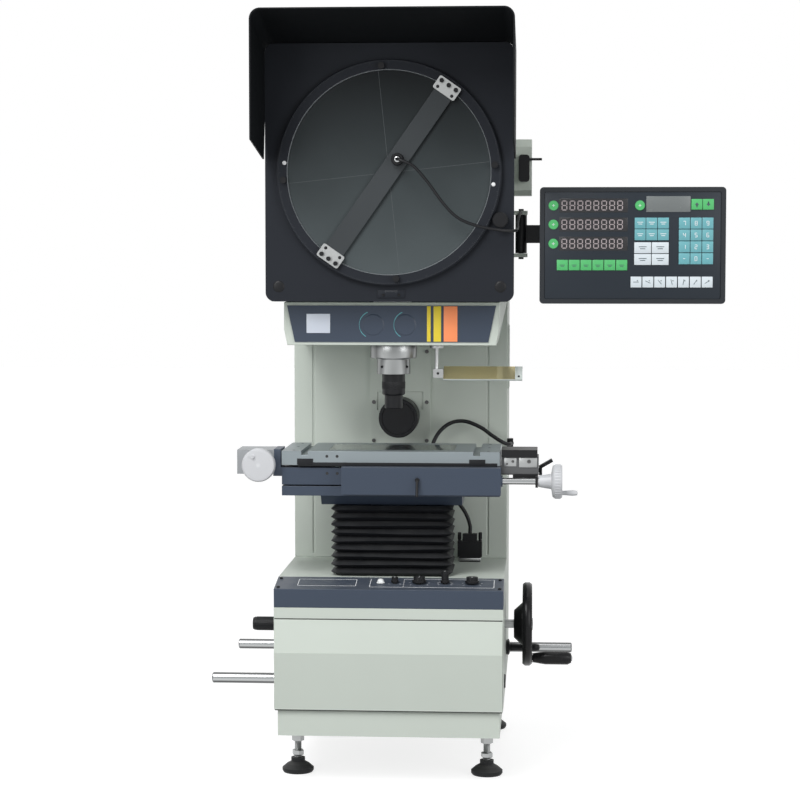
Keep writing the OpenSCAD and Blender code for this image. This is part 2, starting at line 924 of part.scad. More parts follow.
module x_wheel() {
    color("whitesmoke")
        difference() {
            translate([ear_x + 4 + slip, rod_y, feed_z])
                rotate([90, 0, 90])
                    handwheel(knob_r);
            translate([ear_x, rod_y, feed_z])
                rotate([0, 90, 0])
                    cylinder(r = feed_r, h = 6);
        }
}

// Long feed on the left: a bracket with its bearing block, and a handwheel facing the user
y_wheel_x = -stage_w / 2 - 34;
y_wheel_z = stage_z - 21;

module y_drive() {
    color("gainsboro")
        difference() {
            union() {
                span([-stage_w / 2 - 14, 56, carriage_top - 14], [-stage_w / 2, 112, carriage_top - slip]);
                span([-stage_w / 2 - 14, 56, carriage_top - 1], [-stage_w / 2 - 2, 112, stage_z + 2]);
                span([-stage_w / 2 - 72, 66, stage_z - 38], [-stage_w / 2 - 13, 128, stage_z]);
            }
            translate([y_wheel_x, 60, y_wheel_z])
                rotate([-90, 0, 0])
                    cylinder(r = 5 + run, h = 40);
        }
}

// A plain disc handwheel with a short crank stub, drawn along +Z from its hub
module disc_wheel(r) {
    union() {
        rotate_extrude()
            polygon([[0, 0], [r * 0.32, 0], [r * 0.36, 4], [r * 0.46, 20], [r * 0.9, 22], [r, 25], [r, 34],
                [r * 0.93, 36.5], [0, 37]]);
        translate([0, -r * 0.62, 35])
            cylinder(r = 2.6, h = 5);
    }
}

module y_wheel() {
    color("whitesmoke")
        union() {
            translate([y_wheel_x, 66 - slip, y_wheel_z])
                rotate([90, 148, 0])
                    disc_wheel(knob_r);
            translate([y_wheel_x, 65, y_wheel_z])
                rotate([-90, 0, 0])
                    cylinder(r = 5, h = 33);
        }
}

// Focus drive: a spoked handwheel with a turning grip on a pinion shaft
shaft_r = 7;
rim_x = base_w / 2 + 28;
grip_r = 10.5;
grip_at = wheel_r - 12;

module z_wheel() {
    color("black")
        difference() {
            union() {
                about_x(rim_x, shaft_y, shaft_z)
                    polygon([[wheel_r - 13, 3], [wheel_r - 9, 0], [wheel_r - 3, 0], [wheel_r, 4], [wheel_r, 11],
                        [wheel_r - 3, 15], [wheel_r - 9, 15], [wheel_r - 13, 12]]);
                about_x(base_w / 2 + 14, shaft_y, shaft_z)
                    polygon([[0, 0], [22, 0], [34, 13], [34, 19], [20, 27], [0, 27]]);
                for (a = [0 : 120 : 240])
                    translate([rim_x + 7, shaft_y, shaft_z])
                        rotate([a, 0, 0])
                            span([-3.4, -8, 20], [3.4, 8, wheel_r - 8]);
                translate([rim_x + 4, shaft_y, shaft_z - grip_at])
                    rotate([0, 90, 0])
                        cylinder(r = 8, h = 12);
                translate([rim_x + 10, shaft_y, shaft_z - grip_at])
                    rotate([0, 90, 0])
                        cylinder(r = 4, h = 64);
            }
            translate([base_w / 2, shaft_y, shaft_z])
                rotate([0, 90, 0])
                    cylinder(r = shaft_r, h = 30);
        }
}

module z_grip() {
    color("black")
        about_x(rim_x + 16 + slip, shaft_y, shaft_z - grip_at)
            polygon([[4 + run, 0], [grip_r - 3, 0], [grip_r - 2.5, 4], [grip_r, 20], [grip_r, 56], [grip_r - 3, 62],
                [0, 62], [0, 59], [4 + run, 59]]);
}

// Involute flank of the pinion, as the angle of half a tooth at a radius
function inv(a) = tan(a) * 180 / PI - a;
function half_tooth(r) =
    let (rb = pitch_r * cos(20), a = r > rb ? acos(rb / r) : 0)
    0.84 * 90 / gear_teeth + inv(20) - inv(a);

module pinion() {
    root_r = pitch_r - 1.3 * gear_m;
    tip_r = pitch_r + 0.9 * gear_m;
    radii = [root_r - 0.4, pitch_r * 0.94, pitch_r, (pitch_r + tip_r) / 2, tip_r];
    union() {
        circle(root_r);
        for (i = [0 : gear_teeth - 1])
            rotate(i * 360 / gear_teeth)
                polygon(concat([for (r = radii) [r * cos(half_tooth(r)), r * sin(half_tooth(r))]],
                    [for (k = [len(radii) - 1 : -1 : 0])
                        [radii[k] * cos(half_tooth(radii[k])), -radii[k] * sin(half_tooth(radii[k]))]]));
    }
}

module z_shaft() {
    color("silver")
        union() {
            translate([9, shaft_y, shaft_z])
                rotate([0, 90, 0])
                    cylinder(r = shaft_r, h = base_w / 2 + 14 + 16 - 9);
            translate([-9, shaft_y, shaft_z])
                rotate([0, 90, 0])
                    rotate(180 + 90)
                        linear_extrude(19)
                            pinion();
        }
}

// Lock lever on the right side of the base, and the lamp knob on the left side
module z_lock() {
    color("black")
        about_x(base_w / 2 + slip, left_knob_y, lock_z)
            polygon([[0, 0], [12, 0], [12, 5], [6.5, 7], [5.5, 20], [6.5, 48], [5, 54], [0, 56]]);
}

module left_knob() {
    color("black")
        translate([-base_w / 2 - slip, left_knob_y, left_knob_z])
            rotate([0, -90, 0])
                rotate_extrude()
                    polygon([[0, 0], [9, 0], [9, 6], [11, 8], [11, 62], [9.5, 65], [0, 65]]);
}

// Screen: a turning ring with its ground glass
ring_front = plate_y - ring_t - slip;

module screen_ring() {
    color("black")
        about_y(0, ring_front, screen_z)
            polygon([[screen_r, 0], [ring_r - 2, 0], [ring_r, 2], [ring_r, ring_t], [bore_r - run, ring_t],
                [bore_r - run, ring_t + plate_t + slip], [screen_r + 2, ring_t + plate_t + slip],
                [screen_r + 2, 3], [screen_r, 3]]);
}

module screen_glass() {
    color("lightgray")
        about_y(0, ring_front + 3, screen_z)
            square([screen_r + 2 - run, 4]);
}

// A place on the screen, at a radius and an angle, at a depth
module on_screen(r, a, y) {
    translate([r * cos(a), y, screen_z + r * sin(a)])
        children();
}

// Chart clips round the ring, and the thumbscrews of the bar's clamps
clip_angles = [4, 94, 184, 274];
bar_t = 2.5;
clamp_t = 4;
clamp_at = screen_r - 1;
bar_w = 31;
bar_front = ring_front - bar_t;

module ring_knobs() {
    color("black") {
        for (a = clip_angles)
            on_screen(screen_r + 6, a, ring_front - 7)
                rotate([-90, 0, 0])
                    cylinder(r = 5, h = 7);
        for (side = [0, 180], s = [-1, 0, 1])
            on_screen(clamp_at, bar_angle + side, bar_front - clamp_t - 5)
                rotate([0, -bar_angle, 0])
                    translate([side == 0 ? 5 : -5, 0, s * 13])
                        rotate([-90, 0, 0])
                            cylinder(r = 3.4, h = 5);
    }
}

module overlay_bar() {
    color("lightgray")
        translate([0, bar_front, screen_z])
            rotate([0, -bar_angle, 0])
                span([-screen_r - 8, 0, -bar_w / 2], [screen_r + 8, bar_t, bar_w / 2]);
}

module bar_clamps() {
    color("silver")
        for (side = [0, 180])
            on_screen(clamp_at, bar_angle + side, bar_front - clamp_t)
                rotate([0, -bar_angle, 0])
                    translate([0, clamp_t, 0])
                        rotate([90, 0, 0])
                            linear_extrude(clamp_t)
                                rounded(22, bar_w + 8, 3);
}

module edge_sensor() {
    color("black")
        translate([sensor_off * cos(bar_angle), 0, sensor_off * sin(bar_angle)])
            about_y(0, bar_front - 12, screen_z)
                polygon([[0, 0], [8.5, 0], [9.5, 2], [9.5, 12], [0, 12]]);
}

// Friction knob that turns the screen at the ring's edge
drive_r = 12;
knob_gap = ring_r + drive_r + slip;
knob_place = [knob_gap * cos(23), -knob_gap * sin(23)];

module screen_knob() {
    color("black")
        translate([knob_place[0], 0, screen_z + knob_place[1]])
            about_y(0, plate_y - 15, 0)
                polygon([[0, 0], [drive_r - 1.5, 0], [drive_r, 1.5], [drive_r, 15 - slip], [4, 15 - slip],
                    [4, 15 + plate_t], [0, 15 + plate_t]]);
}

// Half mirror: a swinging arm under the cover with a tilted glass strip
arm_x = 68;
arm_y = axis_y;
arm_r = 3;
strip_w = 124;
strip_d = 31;

module mirror_arm() {
    color("silver")
        translate([arm_x, arm_y, 0])
            union() {
                translate([0, 0, cover_bottom - 53])
                    cylinder(r = arm_r, h = 53 + wall);
                translate([0, 0, cover_bottom - 6 - slip])
                    cylinder(r = 11, h = 6);
                translate([0, 0, cover_bottom - 53])
                    span([-5, -7, 0], [11, 7, 14]);
            }
}

module half_mirror() {
    color("goldenrod")
        translate([arm_x + 11, arm_y, cover_bottom - 46])
            rotate([38, 0, 0])
                span([0, -strip_d / 2, -1.2], [strip_w, strip_d / 2, 1.2]);
}

// A round lead swept along its route, with a smooth curve through hand chosen points
function along(p, i, t) =
    let (a = p[max(i - 1, 0)], b = p[i], c = p[i + 1], d = p[min(i + 2, len(p) - 1)])
    0.5 * (2 * b + (c - a) * t + (2 * a - 5 * b + 4 * c - d) * t * t + (3 * b - a - 3 * c + d) * t * t * t);
function smooth(p, n) = concat([for (i = [0 : len(p) - 2], k = [0 : n - 1]) along(p, i, k / n)], [p[len(p) - 1]]);
function unit(v) = v / norm(v);

module lead(route, d) {
    sides = 8;
    p = smooth(route, 2);
    n = len(p);
    function way(i) = unit(p[min(i + 1, n - 1)] - p[max(i - 1, 0)]);
    function flat(i) = unit(cross(way(i), [0.12, 1, 0.07]));
    rings = [for (i = [0 : n - 1], k = [0 : sides - 1])
        p[i] + d / 2 * (flat(i) * cos(360 * k / sides) + cross(way(i), flat(i)) * sin(360 * k / sides))];
    walls = [for (i = [0 : n - 2], k = [0 : sides - 1])
        [i * sides + k, i * sides + (k + 1) % sides, (i + 1) * sides + (k + 1) % sides, (i + 1) * sides + k]];
    polyhedron(rings, concat([[for (k = [sides - 1 : -1 : 0]) k]], walls,
        [[for (k = [0 : sides - 1]) (n - 1) * sides + k]]));
}

// Lead of the edge sensor: across the screen, over the plate's edge and down to the readout's hinge
sensor_x = sensor_off * cos(bar_angle);
sensor_z = screen_z + sensor_off * sin(bar_angle);
sensor_route = [[sensor_x, bar_front - 12 - slip / 2, sensor_z], [sensor_x, 0, sensor_z], [sensor_x, -5, sensor_z],
    [22, -10, 962], [40, -10, 953], [62, -9, 928], [84, -8, 898],
    [106, -7, 876], [134, -4, 864], [164, 0, 858], [184, 8, 856], [194, 20, 857], [196, 36, 860], [196, 52, 870],
    [pivot_x - 3, 65, arm_high - 8], [pivot_x - 1, pivot_y - 23, arm_high - 3],
    [pivot_x - 1, pivot_y - 12, arm_high - 3]];

module sensor_cable() {
    color("black")
        lead(sensor_route, 4.6);
}

// Lead of the scales: out of its plug, up behind the stage and over to the gland on the column's side
scale_route = [[117, 250, 362], [117, 250, 376], [110, 248, 396], [96, 246, 416], [76, 246, 440], [58, 248, 470],
    [54, 252, 500], [64, 258, 526], [84, 262, 543], [108, 266, 546], [134, 266, 536], [154, 264, 522],
    [170, 265, 512], [180, 271, 508], [183, 281, 508], [183, 290, 508]];

module scale_cable() {
    color("black")
        lead(scale_route, 6.4);
}

module place() {
    translate([mid_x, front_y, 0])
        children();
}

place() base_housing();
place() front_panel();
place() control_panel();
place() power_knob();
place() contour_knob();
place() dimmer_knob();
place() surface_knob();
place() foot_pads();
place() foot_studs();
place() carry_rods();
place() column_shell();
place() rear_cover();
place() lamp_house();
place() lens_plate();
place() surface_light();
place() head_shell();
place() screen_plate();
place() hood();
place() front_cover();
place() cover_fascia();
place() lens_mount();
place() objective();
place() fold_mirrors();
place() encoder_box();
place() screen_clamp();
place() dro_arm();
place() dro_hinge();
place() dro_case();
place() connectors();
place() lift_column();
place() stage_base();
place() scale_cover();
place() scale_lever();
place() condenser_lens();
place() bellows();
place() x_carriage();
place() drive_head();
place() y_drive();
place() release_lever();
place() x_rod();
place() x_wheel();
place() y_wheel();
place() stage_plate();
place() stage_glass();
place() z_wheel();
place() z_grip();
place() z_shaft();
place() z_lock();
place() left_knob();
place() screen_ring();
place() screen_glass();
place() ring_knobs();
place() overlay_bar();
place() bar_clamps();
place() edge_sensor();
place() screen_knob();
place() mirror_arm();
place() half_mirror();
place() sensor_cable();
place() scale_cable();
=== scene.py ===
import math

import bmesh
import bpy
from mathutils import Matrix, Vector


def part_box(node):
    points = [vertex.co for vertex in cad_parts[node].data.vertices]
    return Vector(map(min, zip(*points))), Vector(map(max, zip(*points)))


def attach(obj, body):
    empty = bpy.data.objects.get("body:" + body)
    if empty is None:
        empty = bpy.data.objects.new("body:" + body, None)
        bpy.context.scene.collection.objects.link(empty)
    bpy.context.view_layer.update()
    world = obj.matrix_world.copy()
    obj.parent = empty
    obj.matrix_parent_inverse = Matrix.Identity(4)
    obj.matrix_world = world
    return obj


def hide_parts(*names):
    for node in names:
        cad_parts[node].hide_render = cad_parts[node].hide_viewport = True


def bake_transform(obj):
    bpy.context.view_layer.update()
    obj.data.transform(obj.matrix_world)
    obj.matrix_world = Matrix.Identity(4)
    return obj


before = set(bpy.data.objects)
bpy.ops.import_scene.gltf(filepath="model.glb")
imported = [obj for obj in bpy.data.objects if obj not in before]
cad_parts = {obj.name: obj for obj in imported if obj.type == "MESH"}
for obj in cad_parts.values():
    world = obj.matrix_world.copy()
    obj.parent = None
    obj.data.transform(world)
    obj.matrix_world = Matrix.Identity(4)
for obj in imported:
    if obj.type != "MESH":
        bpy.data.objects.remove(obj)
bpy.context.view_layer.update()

# Camera: a long lens at the height of the readout, to the right of the machine's middle.
# It is turned a little to the left and down, so that the machine and its readout fill the frame.
base_low, base_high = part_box("base_housing")
middle_x = (base_low.x + base_high.x) / 2
front_y = base_low.y
camera_down = 3.862
camera_left = 3.801


def at(x, y, z):
    """A point in millimetres from the base's middle, its front and the floor, in the frame's metres."""
    return Vector((middle_x + x / 1000, front_y + y / 1000, z / 1000))


camera_data = bpy.data.cameras.new("camera")
camera_data.sensor_width = 36
camera_data.lens = 97.7
camera = bpy.data.objects.new("camera", camera_data)
camera.location = at(237.6, -3300, 821.9)
camera.rotation_euler = (math.radians(90 - camera_down), 0, math.radians(camera_left))
bpy.context.collection.objects.link(camera)
bpy.context.scene.camera = camera

# Leads: two round rubber-jacketed cables, the thin one of the edge sensor and the thick one of the scales.
# Each is moulded into its fitting at both ends.
# On the machine the sensor's end turns with the screen; here its lead is fixed and rides on no body.
sensor_wide = 0.0046
scale_wide = 0.0064
sensor_route = [(13.8, 3.05, 964.7), (13.8, 0, 964.7), (13.8, -5, 964.7), (22, -10, 962), (40, -10, 953),
                (62, -9, 928), (84, -8, 898), (106, -7, 876), (134, -4, 864), (164, 0, 858), (184, 8, 856),
                (194, 20, 857), (196, 36, 860), (196, 52, 870), (198, 65, 880), (200, 77, 885),
                (200, 88, 885)]
scale_route = [(117, 250, 362), (117, 250, 376), (110, 248, 396), (96, 246, 416), (76, 246, 440),
               (58, 248, 470), (54, 252, 500), (64, 258, 526), (84, 262, 543), (108, 266, 546),
               (134, 266, 536), (154, 264, 522), (170, 265, 512), (180, 271, 508), (183, 281, 508),
               (183, 290, 508)]


def smooth_path(points, steps):
    """Points along a curve that passes through the given ones."""
    path = []
    for i in range(len(points) - 1):
        a = points[max(i - 1, 0)]
        b = points[i]
        c = points[i + 1]
        d = points[min(i + 2, len(points) - 1)]
        for k in range(steps):
            t = k / steps
            path.append(0.5 * (2 * b + (c - a) * t + (2 * a - 5 * b + 4 * c - d) * t ** 2
                               + (3 * b - a - 3 * c + d) * t ** 3))
    path.append(points[-1])
    return path


def ring_of(bm, centre, side, up, radius, sides):
    """Points of a circle in the plane of two directions."""
    turns = [2 * math.pi * k / sides for k in range(sides)]
    return [bm.verts.new(centre + radius * (side * math.cos(a) + up * math.sin(a))) for a in turns]


def tube(bm, path, radius, sides=16):
    """A closed round tube along a path."""
    rings = []
    side = Vector((0.12, 1, 0.07))
    for i, point in enumerate(path):
        way = (path[min(i + 1, len(path) - 1)] - path[max(i - 1, 0)]).normalized()
        side = (side - way * side.dot(way)).normalized()
        rings.append(ring_of(bm, point, side, way.cross(side), radius, sides))
    for low, high in zip(rings, rings[1:]):
        for k in range(sides):
            bm.faces.new((low[k], low[(k + 1) % sides], high[(k + 1) % sides], high[k]))
    bm.faces.new(list(reversed(rings[0])))
    bm.faces.new(rings[-1])


def piece(name, bm, material, body=None, smooth=True, crease=35):
    """Turns a bmesh into an object that rides on a body."""
    bmesh.ops.recalc_face_normals(bm, faces=bm.faces)
    mesh = bpy.data.meshes.new(name)
    bm.to_mesh(mesh)
    bm.free()
    mesh.materials.append(material)
    if smooth:
        mesh.shade_smooth()
        mesh.set_sharp_from_angle(angle=math.radians(crease))
    made = bpy.data.objects.new(name, mesh)
    bpy.context.collection.objects.link(made)
    if body:
        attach(made, body)
    return made


def node_group(name, inputs, outputs):
    """An empty shader group with its sockets, and its input and output nodes."""
    group = bpy.data.node_groups.new(name, "ShaderNodeTree")
    kinds = {"colour": "NodeSocketColor", "value": "NodeSocketFloat"}
    for socket, kind in inputs:
        group.interface.new_socket(socket, in_out="INPUT", socket_type=kinds[kind])
    for socket, kind in outputs:
        group.interface.new_socket(socket, in_out="OUTPUT", socket_type=kinds[kind])
    return group, group.nodes.new("NodeGroupInput"), group.nodes.new("NodeGroupOutput")


def add(tree, kind, links=(), fixed=(), **values):
    """A node with its settings and named values, the sockets that feed it, and values of numbered sockets."""
    node = tree.nodes.new(kind)
    for key, value in values.items():
        if hasattr(node, key):
            setattr(node, key, value)
        else:
            node.inputs[key.replace("_", " ")].default_value = value
    for socket, value in fixed:
        node.inputs[socket].default_value = value
    for source, target in links:
        tree.links.new(source, node.inputs[target])
    return node


# Grain of every finish, from cable jacket to paint: a slow change of tone over the surface,
# a fine relief whose size each material sets, and a little change of gloss
grain_group, grain_in, grain_out = node_group(
    "surface_grain",
    [("Colour", "colour"), ("Mottle", "value"), ("Grain", "value"), ("Roughness", "value")],
    [("Colour", "colour"), ("Roughness", "value"), ("Height", "value")])
where = add(grain_group, "ShaderNodeTexCoord").outputs["Object"]
slow = add(grain_group, "ShaderNodeTexNoise", [(where, "Vector")], Scale=7.0, Detail=4.0)
fine = add(grain_group, "ShaderNodeTexNoise", [(where, "Vector"), (grain_in.outputs["Grain"], "Scale")],
           Detail=3.0)
smudge = add(grain_group, "ShaderNodeTexNoise", [(where, "Vector")], Scale=31.0, Detail=5.0)
swing = add(grain_group, "ShaderNodeMath", [(slow.outputs["Fac"], 0)], [(1, 0.5)], operation="SUBTRACT")
tone = add(grain_group, "ShaderNodeMath", [(swing.outputs[0], 0), (grain_in.outputs["Mottle"], 1)],
           [(2, 1.0)], operation="MULTIPLY_ADD")
toned = add(grain_group, "ShaderNodeVectorMath",
            [(grain_in.outputs["Colour"], 0), (tone.outputs[0], "Scale")], operation="SCALE")
gloss = add(grain_group, "ShaderNodeMath", [(smudge.outputs["Fac"], 0), (grain_in.outputs["Roughness"], 2)],
            [(1, 0.12)], operation="MULTIPLY_ADD")
grain_group.links.new(toned.outputs[0], grain_out.inputs["Colour"])
grain_group.links.new(gloss.outputs[0], grain_out.inputs["Roughness"])
grain_group.links.new(fine.outputs["Fac"], grain_out.inputs["Height"])

# Rubbed edges, where hands and cloths thin the paint: a mask that is brightest on sharp corners,
# broken up by noise
wear_group, wear_in, wear_out = node_group("rubbed_edges", [("Amount", "value")], [("Mask", "value")])
rounded = add(wear_group, "ShaderNodeBevel", samples=4, Radius=0.0016)
plain = add(wear_group, "ShaderNodeNewGeometry")
agree = add(wear_group, "ShaderNodeVectorMath", [(rounded.outputs[0], 0), (plain.outputs["Normal"], 1)],
            operation="DOT_PRODUCT")
bare = add(wear_group, "ShaderNodeMapRange", [(agree.outputs["Value"], "Value")], From_Min=0.98,
           From_Max=0.80)
spot = add(wear_group, "ShaderNodeTexCoord")
broken = add(wear_group, "ShaderNodeTexNoise", [(spot.outputs["Object"], "Vector")], Scale=60.0, Detail=4.0)
patchy = add(wear_group, "ShaderNodeMath", [(bare.outputs[0], 0), (broken.outputs["Fac"], 1)],
             operation="MULTIPLY")
worn = add(wear_group, "ShaderNodeMath", [(patchy.outputs[0], 0), (wear_in.outputs["Amount"], 1)],
           operation="MULTIPLY")
wear_group.links.new(worn.outputs[0], wear_out.inputs["Mask"])

# Settled dust of a workshop: a mask on what faces up, in soft patches
dust_group, dust_in, dust_out = node_group("settled_dust", [("Amount", "value")], [("Mask", "value")])
facing = add(dust_group, "ShaderNodeNewGeometry")
upward = add(dust_group, "ShaderNodeSeparateXYZ", [(facing.outputs["Normal"], 0)])
level = add(dust_group, "ShaderNodeMapRange", [(upward.outputs["Z"], "Value")], From_Min=0.5, From_Max=1.0)
drift = add(dust_group, "ShaderNodeTexCoord")
cloud = add(dust_group, "ShaderNodeTexNoise", [(drift.outputs["Object"], "Vector")], Scale=45.0, Detail=5.0)
lying = add(dust_group, "ShaderNodeMath", [(level.outputs[0], 0), (cloud.outputs["Fac"], 1)],
            operation="MULTIPLY")
share = add(dust_group, "ShaderNodeMath", [(lying.outputs[0], 0), (dust_in.outputs["Amount"], 1)],
            operation="MULTIPLY")
dust_group.links.new(share.outputs[0], dust_out.inputs["Mask"])
dust_tone = (0.30, 0.30, 0.29)
relief_depth = 0.0004


def surface(name, colour, roughness, grain=900.0, mottle=0.08, relief=0.08, metallic=0.0, wear=0.0, dust=0.0,
            shine=0.5):
    """A material with the grain, wear and dust groups; its grain node is named grain."""
    material = bpy.data.materials.new(name)
    material.use_nodes = True
    tree = material.node_tree
    shader = tree.nodes["Principled BSDF"]
    shader.inputs["Metallic"].default_value = metallic
    shader.inputs["Specular IOR Level"].default_value = shine
    texture = add(tree, "ShaderNodeGroup", node_tree=grain_group, name="grain")
    texture.inputs["Colour"].default_value = (*colour, 1)
    texture.inputs["Mottle"].default_value = mottle
    texture.inputs["Grain"].default_value = grain
    texture.inputs["Roughness"].default_value = roughness
    final = texture.outputs["Colour"]
    bared = [min(1, c * 1.6 + 0.05) for c in colour]
    for group, amount, tint in ((wear_group, wear, bared), (dust_group, dust, dust_tone)):
        if amount:
            mask = add(tree, "ShaderNodeGroup", node_tree=group)
            mask.inputs["Amount"].default_value = amount
            mix = add(tree, "ShaderNodeMix", [(mask.outputs["Mask"], "Factor"), (final, 6)],
                      [(7, (*tint, 1))], data_type="RGBA")
            final = mix.outputs[2]
    tree.links.new(final, shader.inputs["Base Color"])
    tree.links.new(texture.outputs["Roughness"], shader.inputs["Roughness"])
    if relief:
        bump = add(tree, "ShaderNodeBump", [(texture.outputs["Height"], "Height")], Strength=relief,
                   Distance=relief_depth)
        tree.links.new(bump.outputs["Normal"], shader.inputs["Normal"])
    return material


cable_jacket = surface("cable_jacket", (0.007, 0.0075, 0.009), 0.36, grain=1600.0, relief=0.05, shine=0.25)


def lead(name, route, diameter, node):
    """A cable along its route, in place of its plain solid."""
    path = smooth_path([at(*point) for point in route], 6)
    bm = bmesh.new()
    tube(bm, path, diameter / 2)
    made = piece(name, bm, cable_jacket)
    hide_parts(node)
    return made


sensor_lead = lead("sensor_lead", sensor_route, sensor_wide, "sensor_cable")
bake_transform(sensor_lead)
scale_lead = lead("scale_lead", scale_route, scale_wide, "scale_cable")
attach(scale_lead, "frame")

# Studio: a plain pale floor and a white surround, which mirrors and glass show as well.
# One large soft lamp stands above on the left, with weaker ones in front, above and on the right.
floor_tone = 0.32
floor_glow = 0.78
floor_half = 12
surround_light = 0.26


def sight(tree):
    """One for rays of the camera, off mirrors and through glass, and nought for rays that light a thing."""
    rays = add(tree, "ShaderNodeLightPath")
    mirrored = add(tree, "ShaderNodeMath",
                   [(rays.outputs["Is Glossy Ray"], 0), (rays.outputs["Is Transmission Ray"], 1)],
                   operation="MAXIMUM")
    return add(tree, "ShaderNodeMath", [(rays.outputs["Is Camera Ray"], 0), (mirrored.outputs[0], 1)],
               operation="MAXIMUM").outputs[0]


floor_material = bpy.data.materials.new("studio_floor")
floor_material.use_nodes = True
floor_tree = floor_material.node_tree
floor_shader = floor_tree.nodes["Principled BSDF"]
floor_shader.inputs["Base Color"].default_value = (floor_tone, floor_tone, floor_tone, 1)
floor_shader.inputs["Roughness"].default_value = 0.6
floor_shader.inputs["Emission Color"].default_value = (1, 1, 1, 1)
floor_lift = add(floor_tree, "ShaderNodeMath", [(sight(floor_tree), 0)], [(1, floor_glow)],
                 operation="MULTIPLY")
floor_tree.links.new(floor_lift.outputs[0], floor_shader.inputs["Emission Strength"])
floor_bm = bmesh.new()
bmesh.ops.create_grid(floor_bm, x_segments=1, y_segments=1, size=floor_half)
floor = piece("studio_floor", floor_bm, floor_material, smooth=False)

world = bpy.data.worlds.new("studio")
world.use_nodes = True
bpy.context.scene.world = world
world_tree = world.node_tree
lit = world_tree.nodes["Background"]
lit.inputs["Color"].default_value = (0.96, 0.98, 1.0, 1)
lit.inputs["Strength"].default_value = surround_light
seen = add(world_tree, "ShaderNodeBackground", Color=(1, 1, 1, 1), Strength=1.0)
either = add(world_tree, "ShaderNodeMixShader",
             [(sight(world_tree), 0), (lit.outputs[0], 1), (seen.outputs[0], 2)])
world_tree.links.new(either.outputs[0], world_tree.nodes["World Output"].inputs["Surface"])


def lamp(name, place, aim, size, power):
    """A square soft lamp that points at a place."""
    data = bpy.data.lights.new(name, "AREA")
    data.size = size
    data.energy = power
    made = bpy.data.objects.new(name, data)
    made.location = place
    made.rotation_euler = (aim - place).to_track_quat("-Z", "Y").to_euler()
    bpy.context.collection.objects.link(made)


lamp("key_lamp", at(-1000, -1900, 2800), at(0, 150, 550), 1.5, 66)
lamp("fill_lamp", at(1900, -1500, 1200), at(0, 200, 600), 1.4, 21)
lamp("front_lamp", at(-1500, -2200, 1300), at(0, 200, 600), 1.3, 21)
lamp("top_lamp", at(0, 0, 2700), at(0, 150, 600), 1.5, 10)
bpy.context.scene.view_settings.view_transform = "Standard"

# Housings: sheet steel and castings in a satin off-white powder coat with a green-grey tone.
# The base, its bulged front, the column, the head and the cover are bolted to one another,
# and thin dark strips along the front panel's joints are painted shade in these joints.


def dress(material, *names, soft=0.0):
    """Gives CAD nodes a material, and rolls their edges over where a radius in millimetres is named."""
    for name in names:
        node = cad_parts[name]
        node.data.materials.clear()
        node.data.materials.append(material)
        if soft:
            weld = node.modifiers.new("joined_corners", "WELD")
            weld.merge_threshold = 0.00001
            roll = node.modifiers.new("rolled_edges", "BEVEL")
            roll.width = soft / 1000
            roll.segments = 3
            roll.limit_method = "ANGLE"
            roll.angle_limit = math.radians(40)
            roll.harden_normals = True


def seam_strip(bm, low, high):
    """A thin strip between two corners."""
    strip = bmesh.ops.create_cube(bm, size=1)["verts"]
    bmesh.ops.scale(bm, vec=high - low, verts=strip)
    bmesh.ops.translate(bm, vec=(low + high) / 2, verts=strip)


ivory = surface("ivory_coat", (0.565, 0.615, 0.56), 0.42, grain=1100.0, mottle=0.06, relief=0.06, wear=0.25,
                shine=0.28)
dress(ivory, "base_housing", "column_shell", "head_shell", "front_cover", "rear_cover", soft=1.2)
dress(ivory, "front_panel", "lens_plate", "encoder_box", "dro_arm", soft=0.6)
# Painted shade: thin dark strips along the front panel's two joints stand in for the shade in them.
seam_painted_shade = surface("seam_painted_shade", (0.05, 0.055, 0.05), 0.6, relief=0.05, shine=0.2)
bm = bmesh.new()
for seam_low, seam_high in ((259.0, 260.4), (116.6, 118.0)):
    seam_strip(bm, at(-176, -0.6, seam_low), at(176, 1.2, seam_high))
piece("panel_seam_shade", bm, seam_painted_shade, "frame", smooth=False)

# Levelling feet: a rubber dome moulded on a threaded steel stud.
# A washer and a hexagonal nut lock each stud under the base.
pad_radius = 0.025
thread_pitch = 1.5
thread_root = 5.0
thread_depth = 0.55
pad_low, pad_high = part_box("foot_pads")
stud_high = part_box("foot_studs")[1]
foot_places = [Vector((x, y, 0)) for x in (pad_low.x + pad_radius, pad_high.x - pad_radius)
               for y in (pad_low.y + pad_radius, pad_high.y - pad_radius)]
rubber = surface("moulded_rubber", (0.009, 0.010, 0.011), 0.5, grain=1400.0, mottle=0.25, relief=0.16,
                 dust=0.3, shine=0.25)
dress(rubber, "foot_pads")
steel = surface("ground_steel", (0.36, 0.37, 0.37), 0.28, grain=2400.0, mottle=0.12, relief=0.06,
                metallic=1.0)
dress(steel, "foot_studs")


def turned(bm, profile, place, axis, sides=32):
    """A turned piece: rings of (radius, distance along the axis) in millimetres."""
    axis = Vector(axis).normalized()
    side = axis.orthogonal().normalized()
    up = axis.cross(side)
    rings = []
    for radius, along in profile:
        centre = place + axis * along / 1000
        if radius == 0:
            rings.append([bm.verts.new(centre)])
        else:
            rings.append(ring_of(bm, centre, side, up, radius / 1000, sides))
    for low, high in zip(rings, rings[1:]):
        for k in range(sides):
            corners = (low[k % len(low)], low[(k + 1) % len(low)], high[(k + 1) % len(high)],
                       high[k % len(high)])
            corners = tuple(dict.fromkeys(corners))
            if len(corners) > 2:
                bm.faces.new(corners)


